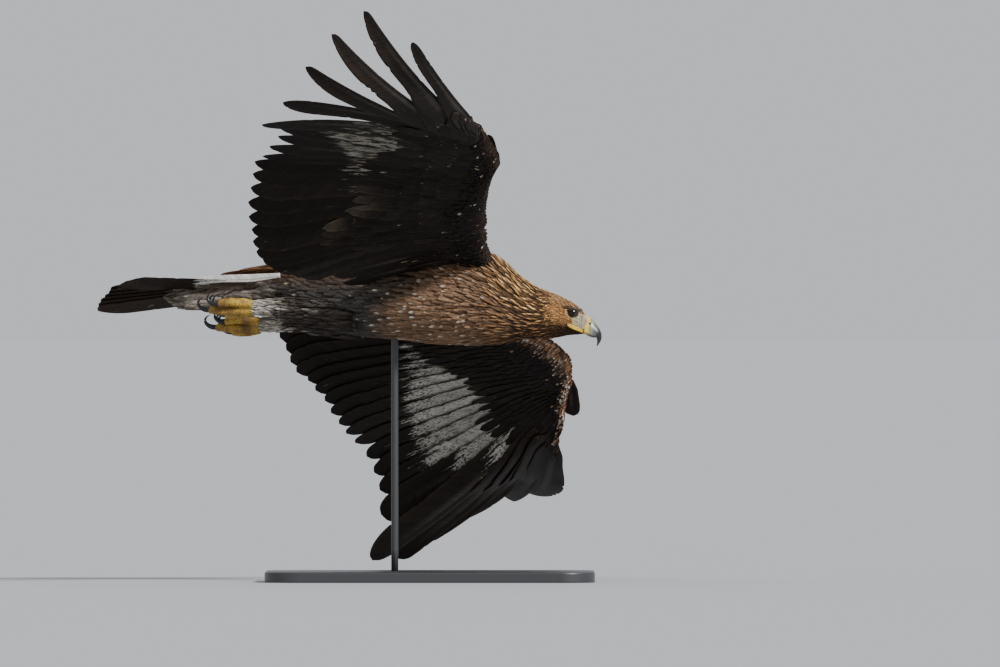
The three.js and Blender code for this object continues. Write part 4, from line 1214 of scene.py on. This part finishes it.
def lesser_rows():
    all_i, all_c = [], []
    for row, c in enumerate(np.concatenate([np.linspace(-1.0, -0.25, 13), np.linspace(-0.15, 0.95, 9)])):
        step = 0.30 if c < -0.5 else 0.40
        i = np.arange(SHOULDER + step / 2 * (row % 2), LAST_PRIMARY + 0.2, step)
        all_i.append(i + RANDOM.normal(0, 0.09, len(i)))
        all_c.append(np.full(len(i), c) + RANDOM.normal(0, 0.025, len(i)))
    return np.concatenate(all_i).clip(SHOULDER, LAST_PRIMARY), np.concatenate(all_c).clip(-1, 1)


# Roots of the lesser coverts on the arm, with the ways back and out
LESSER_DEPTH = 1.0
LESSER_LENGTH = [[-1, 11], [-0.5, 17], [0, 26], [0.6, 34], [1, 38]]


def arm_frame(wing, i, c, face):
    upper = surface_upper(wing, i, np.zeros_like(i))
    here = arm_point(wing, i, c, face, -LESSER_DEPTH) + upper * (face * 3.5 * smooth(c, 0.5, 0.95))[:, None]
    before, behind = (arm_point(wing, i, c + far, face, -LESSER_DEPTH) for far in (-0.02, 0.25))
    inner, outer = (arm_point(wing, np.clip(i + far, SHOULDER, LAST_PRIMARY), c, face) for far in (-0.2, 0.2))
    back = unit(behind - before)
    out = unit(np.cross(back, unit(outer - inner)))
    return here, back, np.where(dot(out, upper) * face < 0, -out, out)


def make_lesser_coverts(wing):
    plumage = Plumage()
    for face in (-1, 1):
        i, c = lesser_rows()
        here, back, out = arm_frame(wing, i, c, face)
        length = along(LESSER_LENGTH, c, 1) * RANDOM.uniform(0.85, 1.15, len(i))
        length = length * (1 - 0.25 * smooth(i, 14, 21))
        aim = turned(back, out, RANDOM.normal(0, 0.12, len(i)))
        bake = wing_bake(wing, i, 0.5 + 0.4 * c, 0.0 if face < 0 else 1.0)
        small_feathers(plumage, here, aim, out, length, length * 0.28 + 5, lesser_paint(wing, c, face), bake,
                       ROUND_SHAPE, 0.12, 0.10)
    plumage.build(f"lesser_coverts_{wing['name']}")


# Thumb feathers along the edge of the hand, painted like fingers
def make_alula(wing):
    plumage = Plumage()
    wrist, hand = wing["bones"][2:]
    bone = unit(hand - wrist)
    upper = surface_upper(wing, np.array(14.0), np.array(0.0))
    front = unit(np.cross(bone, upper))
    front = front if front[0] > 0 else -front
    wide = 1.6 if wing["side"] > 0 else 0.85
    width = rounded_end(COVERT_STATIONS, 0.7) * (0.6 + 0.4 * smooth(COVERT_STATIONS, 0, 0.3))
    for n in range(4):
        aim = turned(bone, upper, -wing["side"] * math.radians(wing["alula"] - 3.5 * n))
        leading = np.cross(aim, upper) * wing["side"]
        start = wrist + front * (9 - n * 2.5) - bone * 6
        length = 98 - 16 * n

        def place(s, a, w, aim=aim, leading=leading, start=start, rise=11 + 1.8 * n, length=length):
            shaft = start + aim * (s * length)[..., None]
            return shaft + leading * a[..., None] + upper * (w + rise)[..., None]

        fine_vane(plumage, place, COVERT_STATIONS, wide * 9 * width, wide * 12 * width, 0.8, flight_paint(18),
                  no_mark, (*wing_bake(wing, 14 + n, 0.2, 0.0), COVERT_BAKE), length)
    plumage.build(f"alula_{wing['name']}")


# Tail: twelve feathers folded over each other, the outer ones below, with coverts over their roots. Feathers
# lengthen to one side by the skew, and start a step apart
TAIL_ROOT = np.array([-254.0, 0, 33])
TAIL_DROOP = math.radians(2.6)
TAIL_BANK = math.radians(24)
TAIL_FEATHERS = 12
TAIL_LENGTH = 298
TAIL_SKEW = 8.6
TAIL_STEP = 0.5
TAIL_SPREAD = math.radians(1.9)
TAIL_LAYER = 0.95
TAIL_STATIONS = tip_stations(0.08, 0.86, 34, 0.12, 14)

# Coverts over the tail and under it: face, steps apart, rise, and rows of how many, how long and how far back
COVERT_TURN = math.radians(0.9)
TAIL_COVERTS = [
    (1, 6.2, 13, [(9, 92, 30), (10, 84, 14), (11, 74, 0)]),
    (-1, 4.4, -17, [(9, 130, 60), (10, 112, 38), (11, 96, 18)]),
]

# White bases of the outer tail feathers, bare between the coverts: back, aside, down and half of the width
TAIL_WHITE = [
    [0, -4, 51.6, 12, 3.5], [1, 46, 43.5, 11.3, 6.5], [2, 95, 42, 9.6, 6.2], [3, 130, 38, 8.7, 6],
    [4, 150, 33.5, 8.2, 4.2], [5, 168, 31, 7.2, 1],
]


def tail_place(turn, step, d, a, w):
    back = np.array([-math.cos(TAIL_DROOP), 0, -math.sin(TAIL_DROOP)])
    left = np.array([0, math.cos(TAIL_BANK), -math.sin(TAIL_BANK)])
    upper = unit(np.cross(left, back))
    aim = turned(back, upper, turn)
    side = turned(left, upper, turn)
    step, d, a, w = (v[..., None] for v in np.broadcast_arrays(step, d, a, w))
    return headed(TAIL_ROOT + left * step + aim * d + side * a + upper * w)


def layer_below(k):
    return 2 * abs(k) - (1 if k > 0 else 0)


def tail_paint(s, t, face):
    dark = blend(BLACK_BROWN, DARK_BROWN, 0.6)
    return blend(dark, blend(WARM_BROWN, BUFF, 0.4), 0.08 * smooth(s, 0.975, 1.0))


def tail_mark(s, t, face):
    return point(1.1 * (1 - smooth(s, 0.50, 0.66)), smooth(s, 0.34, 0.60), 0.85)


def tail_white_paint(s, t, face):
    return blend(WHITE, (0.80, 0.80, 0.80), 0.5) * (0.9 + 0.1 * smooth(np.abs(t), 0, 0.6))[..., None]


def tail_covert_paint(face):
    shade = RANDOM.uniform(0.75, 1.25)
    tint = blend(WARM_BROWN, RUFOUS, RANDOM.uniform(0.2, 0.8)) if face > 0 else np.array((0.12, 0.10, 0.08))

    def paint(s, t, _):
        return blend(tint * shade, BUFF, 0.3 * smooth(s, 0.85, 1.0))

    return paint


def add_tail_feathers(plumage):
    width = 0.25 + 0.75 * smooth(TAIL_STATIONS, 0.05, 0.34)
    lead = 22 * width * rounded_end(TAIL_STATIONS, 0.84) ** 1.5
    trail = 23 * width * rounded_end(TAIL_STATIONS, 0.93)
    for i in range(TAIL_FEATHERS):
        k = i - (TAIL_FEATHERS - 1) / 2
        length = TAIL_LENGTH + TAIL_SKEW * k + RANDOM.uniform(-7, 1)

        def place(s, a, w, k=k, length=length):
            return tail_place(-k * TAIL_SPREAD, k * TAIL_STEP, s * length, a, w - layer_below(k) * TAIL_LAYER)

        fine_vane(plumage, place, TAIL_STATIONS, notched(lead, TAIL_STATIONS, 3, i),
                  notched(trail, TAIL_STATIONS, 5, 30 + i), 0.7, tail_paint, tail_mark,
                  (0.67 + 0.02 * i, 0.80, 0.14), length)


def add_tail_white(plumage):
    s = np.linspace(0, 1, 60)
    reach = TAIL_WHITE[-1][0]
    half = along(TAIL_WHITE, s * reach, 4)
    for side in (-1, 1):
        def place(s, a, w, side=side):
            d, aside, down = (along(TAIL_WHITE, s * reach, c) for c in (1, 2, 3))
            return tail_place(0, side * aside, d, 0.55 * side * a, -down + 0.835 * a - w)

        fine_vane(plumage, place, s, half, half, 0.8, tail_white_paint, no_mark, (0.68, 0.94, 0.05), 170)


def add_tail_covert(plumage, face, apart, rise, k, long, reach, bake):
    length = (long - k * k * 1.2) * RANDOM.uniform(0.94, 1.04)

    def place(s, a, w):
        fall = rise * (1 - 0.55 * s) - face * 0.176 * k * k
        return tail_place(-k * COVERT_TURN, k * apart, reach + s * length, a, w + fall + 0.25 * k)

    width = 13 * rounded_end(COVERT_STATIONS, 0.6)
    paint = tail_covert_paint(face)
    fine_vane(plumage, place, COVERT_STATIONS, width, width, 0.6, paint, no_mark, bake, length)


def make_tail():
    plumage = Plumage()
    add_tail_feathers(plumage)
    add_tail_white(plumage)
    for face, apart, rise, rows in TAIL_COVERTS:
        for ring, (count, long, reach) in enumerate(rows):
            for n in range(count):
                bake = (0.68 + 0.02 * n, 0.72 + 0.02 * ring, COVERT_BAKE)
                k = n - (count - 1) / 2
                add_tail_covert(plumage, face, apart, rise * (1 - 0.10 * ring), k, long, reach, bake)
    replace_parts(plumage.build("tail_feathers"), "tail")


# Legs: dark thighs and whitish feathered shanks
LEG_DEPTH = 2.0
LEG_ROWS = 60
LEG_COLUMNS = 28


def make_leg_coat():
    plumage = Plumage()
    for name, bake_row in LEG_BAKE.items():
        path, radii = leg_path(name)
        surface = tube_points(path, radii - LEG_DEPTH, LEG_ROWS, LEG_COLUMNS)
        row, column = np.indices((LEG_ROWS, LEG_COLUMNS))
        pick = row % 2 == column % 2
        share = np.linspace(0, 1, LEG_ROWS)[row[pick]]
        root, aim = surface[pick], unit(np.gradient(surface, axis=0))[pick]
        out = unit(surface - surface.mean(1, keepdims=True))[pick]
        n = len(root)
        root = root + RANDOM.normal(0, 0.8, (n, 3))
        aim = turned(aim, out, RANDOM.normal(0, 0.14, n))
        base = leg_paint(LEG_FROM - LEG_LENGTH * share + RANDOM.normal(0, 9, n))
        base = base * RANDOM.uniform(0.7, 1.3, n)[:, None]
        pale = (RANDOM.random(n) < 0.08) * smooth(share, 0.1, 0.6)
        long = along([[0, 36], [0.5, 26], [1, 13]], share, 1) * RANDOM.uniform(0.85, 1.15, n)

        def paint(s, t, base=base, pale=pale):
            # Painted shade: darker toward the root, where the feathers overlap
            colour = base * (0.6 + 0.6 * float(smooth(s, 0.1, 0.9)))
            return blend(colour, WHITE, 0.6 * pale * float(smooth(s, 0.4, 0.9)))

        bake = (0.65 + 0.1 * share, bake_row + 0.15 * RANDOM.random(n))
        small_feathers(plumage, root, aim, out, long, long * 0.2 + 4, paint, bake, POINTED_SHAPE, 0.10, 0.12)
    plumage.build("coat_legs")


# Feet: toes with scutes below and pads above, as they trail, by way back, left and up; then the claws
TOES = [
    {"from": (1, -8, 6), "mid": (34, -17, 9), "to": (58, -20, 6), "curl": 0.9, "claw": 26},
    {"from": (1, -4, -4), "mid": (42, -8, -6), "to": (76, -8, -4), "curl": 0.7, "claw": 32},
    {"from": (1, 7, 5), "mid": (34, 14, 8), "to": (60, 16, 4), "curl": 0.8, "claw": 28},
    {"from": (1, 4, -7), "mid": (26, 5, -12), "to": (50, 4.5, -12), "curl": 1, "claw": 38},
]
TOE_RADII = [8.2, 7.4, 5.9]
TOE_PLATES = 12
TOE_PADS = (0.22, 0.52, 0.82)
TOE_KNUCKLES = (0.36, 0.70)
PALM = np.array([15.5, 13, 12.2])
CLAW_RADII = [[0, 4.4], [0.12, 4.5], [0.35, 3.5], [0.7, 1.9], [1, 0.35]]


def toe_points(name, toe):
    x, y, z = LEGS[name][-1][:3]
    return np.array([headed(point(x - b, y + c, z + u)) for b, c, u in (toe["from"], toe["mid"], toe["to"])])


def toe_form(name, toe):
    rings = tube_points(toe_points(name, toe), TOE_RADII, 130, 36)
    centre = rings.mean(1, keepdims=True)
    share = np.linspace(0, 1, 130)[:, None]
    height = np.sin(np.arange(36) / 36 * 2 * math.pi)
    plates = np.abs(np.sin(math.pi * share * TOE_PLATES)) ** 0.45 * smooth(-height, -0.1, 0.6) * 0.75
    pads = sum(bell((share - at) / 0.09) for at in TOE_PADS) * smooth(height, 0.1, 0.9) * 1.5
    knuckles = sum(bell((share - at) / 0.05) for at in TOE_KNUCKLES) * 0.5
    end = np.sqrt(np.clip(1 - ((share - 0.94) / 0.065).clip(0) ** 2, 0.02, 1))
    grow = (plates + pads + knuckles - 0.4)[..., None]
    return centre + (rings - centre + unit(rings - centre) * grow) * end[..., None]


def ellipsoid(centre, radii, rows=28, columns=40):
    v = np.linspace(0.03, math.pi - 0.03, rows)[:, None]
    u = np.arange(columns)[None] / columns * 2 * math.pi
    ball = np.stack([np.sin(v) * np.cos(u), np.sin(v) * np.sin(u), np.cos(v) * np.ones_like(u)], -1)
    return centre + ball * radii


def claw_form(name, toe):
    path = toe_points(name, toe)
    aim = unit(path[2] - path[1])
    up = unit(np.array([0, 0, 1.0]) - aim * aim[2])
    radius = toe["claw"] * 0.5
    centre = path[2] + aim * 0.6 + up * radius * toe["curl"]
    a = np.radians(np.linspace(-8, 150, 9))[:, None]
    curve = centre + aim * radius * np.sin(a) * 1.1 - up * radius * toe["curl"] * np.cos(a)
    return tube_points(curve, along(CLAW_RADII, np.linspace(0, 1, 9), 1), 40, 20)


def make_foot(name):
    x, y, z = LEGS[name][-1][:3]
    palm = ellipsoid(headed(point(x - 16, y, z)), PALM)
    forms = [palm] + [toe_form(name, toe) for toe in TOES]
    foot = new_solid(f"foot_skin_{name}", forms, TOE_SKIN)
    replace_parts(foot, f"foot_{name}")
    for n, toe in enumerate(TOES):
        claw = new_solid(f"claw_horn_{name}_{n + 1}", [claw_form(name, toe)], CLAW)
        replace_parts(claw, f"claw_{name}_{n + 1}")


# Bill: rows of [culmen forward, culmen height, edge forward, edge height, half of the width]
UPPER_BILL = [
    [0, 270.0, -24.2, 270.0, -55, 15], [1, 276, -28, 275, -56.5, 14], [2, 282, -32.5, 279.5, -58.5, 12.5],
    [3, 289, -41.5, 284, -60.5, 10.5], [4, 294.5, -50, 288, -62, 8.5], [5, 297, -58, 289.5, -64.5, 6.2],
    [6, 296.5, -66, 289.8, -69, 4], [7, 293, -73, 289.3, -73.6, 2.2], [8, 289, -77.5, 288, -77, 0.5],
]
CERE_END = 2
CERE_SWELL = 0.3

# A section of the upper bill from the culmen to the edge: share of the way, across and down
BILL_SIDE = [
    [0, 0, 0], [0.2, 0.55, 0.1], [0.4, 0.92, 0.4], [0.6, 1, 0.72], [0.8, 0.9, 1], [0.9, 0.35, 1.02],
    [1, 0, 0.97],
]

# The lower bill's rows are forward, top, bottom and half of the width. Its section is a trough over a keel
LOWER_BILL = [
    [0, 270.0, -55.6, -58.2, 12.5], [1, 275, -57.2, -61, 11.4], [2, 281, -60.2, -62.6, 9],
    [3, 285, -62.2, -63.6, 6],
]
TROUGH = [[-1, 0], [-0.85, 0.18], [-0.6, 0.3], [-0.3, 0.34], [0, 0.35], [0.3, 0.34], [0.6, 0.3], [0.85, 0.18]]
KEEL = [[1, 0], [0.93, 0.42], [0.75, 0.75], [0.4, 0.95], [0, 1], [-0.4, 0.95], [-0.75, 0.75], [-0.93, 0.42]]

# Nostril: forward, up, slant, and half of its length and width
NOSTRIL = (278.5, -39.5, math.radians(50), 3.0, 1.5)


def bill_form(start, stop, steps, swell=0.0):
    j = np.linspace(start, stop, steps)[:, None]
    p = np.linspace(0, 1, 32)
    down = np.concatenate([along(BILL_SIDE, p, 2), along(BILL_SIDE, p[1:-1], 2)[::-1]])
    across = np.concatenate([along(BILL_SIDE, p, 1), -along(BILL_SIDE, p[1:-1], 1)[::-1]])
    x, z, edge_x, edge_z, wide = (along(UPPER_BILL, j, c) for c in range(1, 6))
    return point(x + (edge_x - x) * down, across * (wide + swell), z + (edge_z - z) * down)


def lower_bill_form(steps):
    across, down = np.array(TROUGH + KEEL).T
    j = np.linspace(0, LOWER_BILL[-1][0], steps)[:, None]
    x, top, bottom, wide = (along(LOWER_BILL, j, c) for c in range(1, 5))
    return point(x, across * wide, top + (bottom - top) * down)


def dent_nostril(own):
    forward, up, slant, long, wide = NOSTRIL
    x, z = own[..., 0] - forward, own[..., 2] - up
    u = x * math.cos(slant) - z * math.sin(slant)
    v = x * math.sin(slant) + z * math.cos(slant)
    far = np.hypot(u / long, v / wide)
    depth = 2.6 * (1 - smooth(far, 0.55, 1.05)) - 0.4 * bell((far - 1.35) / 0.3)
    dented = own.copy()
    dented[..., 1] -= np.sign(own[..., 1]) * depth * (np.abs(own[..., 1]) > 5)
    return dented, smooth(far, 0.6, 1.05)


# Share of the length for each point of a closed form
def length_share(form):
    return np.concatenate([np.linspace(0, 1, len(form)).repeat(form.shape[1]), [0, 1]])


# The cere or a part of the bill from its form in the bird's own frame, with its paint
def new_bill(name, own, material, paint):
    piece = new_solid(name, [headed(own)], material)
    set_paint(piece, paint)
    return piece


def make_bill():
    own, open_share = dent_nostril(bill_form(0, CERE_END, 70, CERE_SWELL))
    front = smooth(np.linspace(0, 1, 70), 0.45, 1.0)[:, None]
    # Painted shade: the nostril's opening is painted nearly black, and the cere's front fades toward the
    # horn's colour
    rough = (0.06 + 0.94 * open_share)[..., None] * blend((1, 1, 1), (0.36, 0.42, 1.3), front)
    paint = np.concatenate([rough.reshape(-1, 3), np.ones((2, 3))])
    cere = new_bill("cere_skin", own, CERE, paint)
    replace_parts(cere, "cere")

    own = bill_form(CERE_END - 0.07, 8, 90)
    share = length_share(own)
    horn = blend((0.26, 0.245, 0.20), (0.105, 0.11, 0.115), smooth(share, 0.0, 0.2))
    horn = blend(horn, (0.014, 0.015, 0.018), smooth(share, 0.14, 0.42))
    hook = new_bill("bill_upper", own, BILL, horn)
    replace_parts(hook, "beak_upper")

    own = lower_bill_form(40)
    horn = blend((0.45, 0.40, 0.28), (0.05, 0.052, 0.058), smooth(length_share(own), 0.2, 0.8))
    lower = new_bill("bill_lower", own, BILL, horn)
    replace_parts(lower, "beak_lower")


# Eyes, their lids, the brows over them, near-black as painted shadow over the eyes, and the yellow lips of
# the mouth, by distance forward and height
GAPE = [[0, 243, -41], [1, 257, -48], [2, 271, -54.5]]
GAPE_RADII = np.array([0.4, 1.5, 1.8, 1.8, 1.7, 1.5, 1.3, 1.2, 1.0])
BROW = [[0, 238, -11.5], [1, 252, -14], [2, 264, -17.5]]
BROW_RADII = [0.3, 1.2, 1.9, 2.4, 2.6, 2.6, 2.3, 1.6, 0.5]
LID_RADIUS = 0.95
LID_REACH = 10.4


def on_head(rows, j, side):
    x, height = along(rows, j, 1), along(rows, j, 2)
    a = np.linspace(-math.pi / 2, math.pi / 2, 900)
    found = []
    for own_x, own_height in zip(x, height):
        ring = head_point(own_x, a if side > 0 else math.pi - a)
        found.append(ring[np.argmin(np.abs(ring[:, 2] - own_height))])
    return np.array(found)


def make_eyeball(name, centre, axis, first, second):
    v = np.linspace(0.02, math.pi - 0.02, 60)[:, None]
    u = np.arange(48) / 48 * 2 * math.pi
    round_it = first * np.cos(u)[:, None] + second * np.sin(u)[:, None]
    radius = EYE_RADIUS - 0.15 + 0.5 * bell(v / 0.5)
    ball = axis * np.cos(v)[..., None] + round_it * np.sin(v)[..., None]
    eye = new_solid(f"eyeball_{name}", [centre + ball * radius[..., None]], EYE)
    angle = np.concatenate([v.ravel().repeat(48), [0, math.pi]])
    iris = blend((0.002, 0.002, 0.002), (0.034, 0.013, 0.006), smooth(angle, 0.47, 0.52))
    set_paint(eye, blend(iris, (0.012, 0.008, 0.006), smooth(angle, 0.76, 0.86)))
    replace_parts(eye, f"eye_{name}")


def lid_form(centre, axis, first, second):
    turn = np.linspace(0, 2 * math.pi, 49)
    wide = (10.2 - 0.5 * np.abs(np.sin(turn))) * np.cos(turn)
    high = np.where(np.sin(turn) > 0, 7.8, 8.8) * np.sin(turn)
    deep = np.sqrt(np.maximum(LID_REACH ** 2 - wide ** 2 - high ** 2, 4))
    ring = centre + axis * deep[:, None] + first * wide[:, None] + second * high[:, None]
    return tube_points(ring, np.full(49, LID_RADIUS), 160, 12)


def make_eyes():
    j = np.linspace(0, 2, 9)
    for name, side in (("right", -1), ("left", 1)):
        centre = headed(point(EYE_AT[0], EYE_AT[1] * side, EYE_AT[2]))
        axis = headed(unit(point(0.22, side, -0.04)))
        first = unit(np.cross([0, 0, 1.0], axis))
        second = np.cross(axis, first)
        make_eyeball(name, centre, axis, first, second)
        new_solid(f"lid_{name}", [lid_form(centre, axis, first, second)], LID_SKIN)
        # A ridge over the eye, its near-black colour painted shadow of the brow
        brow = tube_points(on_head(BROW, j, side), BROW_RADII, 60, 12)
        new_solid(f"brow_{name}", [brow], BROW_SHADOW)
        lips = []
        for drop, girth in ((1.3, 1.3), (-1.3, 1.0)):
            lips.append(tube_points(on_head(GAPE, j, side) + [0, 0, drop], GAPE_RADII * girth, 60, 12))
        new_solid(f"lips_{name}", lips, GAPE_SKIN)


# Stand: a flat base with soft edges and one rod up to the belly
BASE = {
    "length": 560, "width": 400, "height": 18, "corner": 60,
    "edge": [(2.5, 0), (0.7, 0.4), (0, 2), (0, 15), (0.4, 16.6), (1.4, 17.6), (3, 18)],
}
ROD = {"radius": 6, "forward": -60, "side": 12, "top": -30}


def make_stand():
    turn = (np.arange(96) + 0.5) / 96 * 2 * math.pi
    corner = point(np.sign(np.cos(turn)) * (BASE["length"] / 2 - BASE["corner"]),
                   np.sign(np.sin(turn)) * (BASE["width"] / 2 - BASE["corner"]), 0)
    rings = []
    for inset, height in BASE["edge"]:
        reach = BASE["corner"] - inset
        rings.append(corner + point(np.cos(turn) * reach, np.sin(turn) * reach, height))
    form = np.array(rings) - [0, 0, BIRD_HEIGHT]
    base = new_solid("stand_plate", [form], STAND, smooth_shade=False)
    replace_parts(base, "stand_base")
    heights = np.linspace(BASE["height"] - 2 - BIRD_HEIGHT, ROD["top"], 12)
    path = point(ROD["forward"], ROD["side"], heights)
    form = path[:, None] + point(np.cos(turn[::2]), np.sin(turn[::2]), 0) * ROD["radius"]
    rod = new_solid("stand_post", [form], STAND)
    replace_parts(rod, "stand_rod")


# Stage: pale floor, soft light from the upper right, camera level with the bird and far off.
# Lamps are name, strength, size in degrees and aim
LAMPS = [("key", 5.0, 8, (-0.62, 0.6, -0.58)), ("fill", 0.25, 50, (0.5, 0.8, 0.15))]
SKY = ((0.93, 0.95, 1.0, 1), 0.68)
SENSOR = 36


def place_on_stage(name, data):
    item = bpy.data.objects.new(name, data)
    bpy.context.scene.collection.objects.link(item)
    return item


def make_floor():
    corners = np.array([[-1, -1, 0], [1, -1, 0], [1, 1, 0], [-1, 1, 0]], float) * FLOOR_REACH
    mesh = bpy.data.meshes.new("floor")
    mesh.from_pydata(corners.tolist(), [], [(0, 1, 2, 3)])
    mesh.materials.append(floor_material())
    floor = place_on_stage("floor", mesh)


def make_lights():
    world = bpy.data.worlds.new("studio")
    world.use_nodes = True
    sky = world.node_tree.nodes["Background"]
    sky.inputs["Color"].default_value, sky.inputs["Strength"].default_value = SKY
    bpy.context.scene.world = world
    for name, strength, size, aim in LAMPS:
        lamp = bpy.data.lights.new(name, "SUN")
        lamp.energy = strength
        lamp.angle = math.radians(size)
        place_on_stage(name, lamp).rotation_euler = Vector(aim).to_track_quat("-Z", "Y").to_euler()


def make_camera():
    lens = bpy.data.cameras.new("camera")
    lens.sensor_width = SENSOR
    lens.lens = SENSOR * CAMERA_AWAY / VIEW_WIDTH
    lens.clip_start = 1
    lens.clip_end = FLOOR_REACH * 2
    camera = place_on_stage("camera", lens)
    camera.location = (CAMERA_X, -CAMERA_AWAY, CAMERA_Z)
    camera.rotation_euler = (math.pi / 2, 0, 0)
    bpy.context.scene.camera = camera


make_floor()
make_lights()
make_camera()
make_skin()
make_body_coat()
for wing in WINGS:
    make_flight_feathers(wing)
    make_coverts(wing)
    make_lesser_coverts(wing)
    make_alula(wing)
make_tail()
make_leg_coat()
for name in LEGS:
    make_foot(name)
make_bill()
make_eyes()
make_stand()
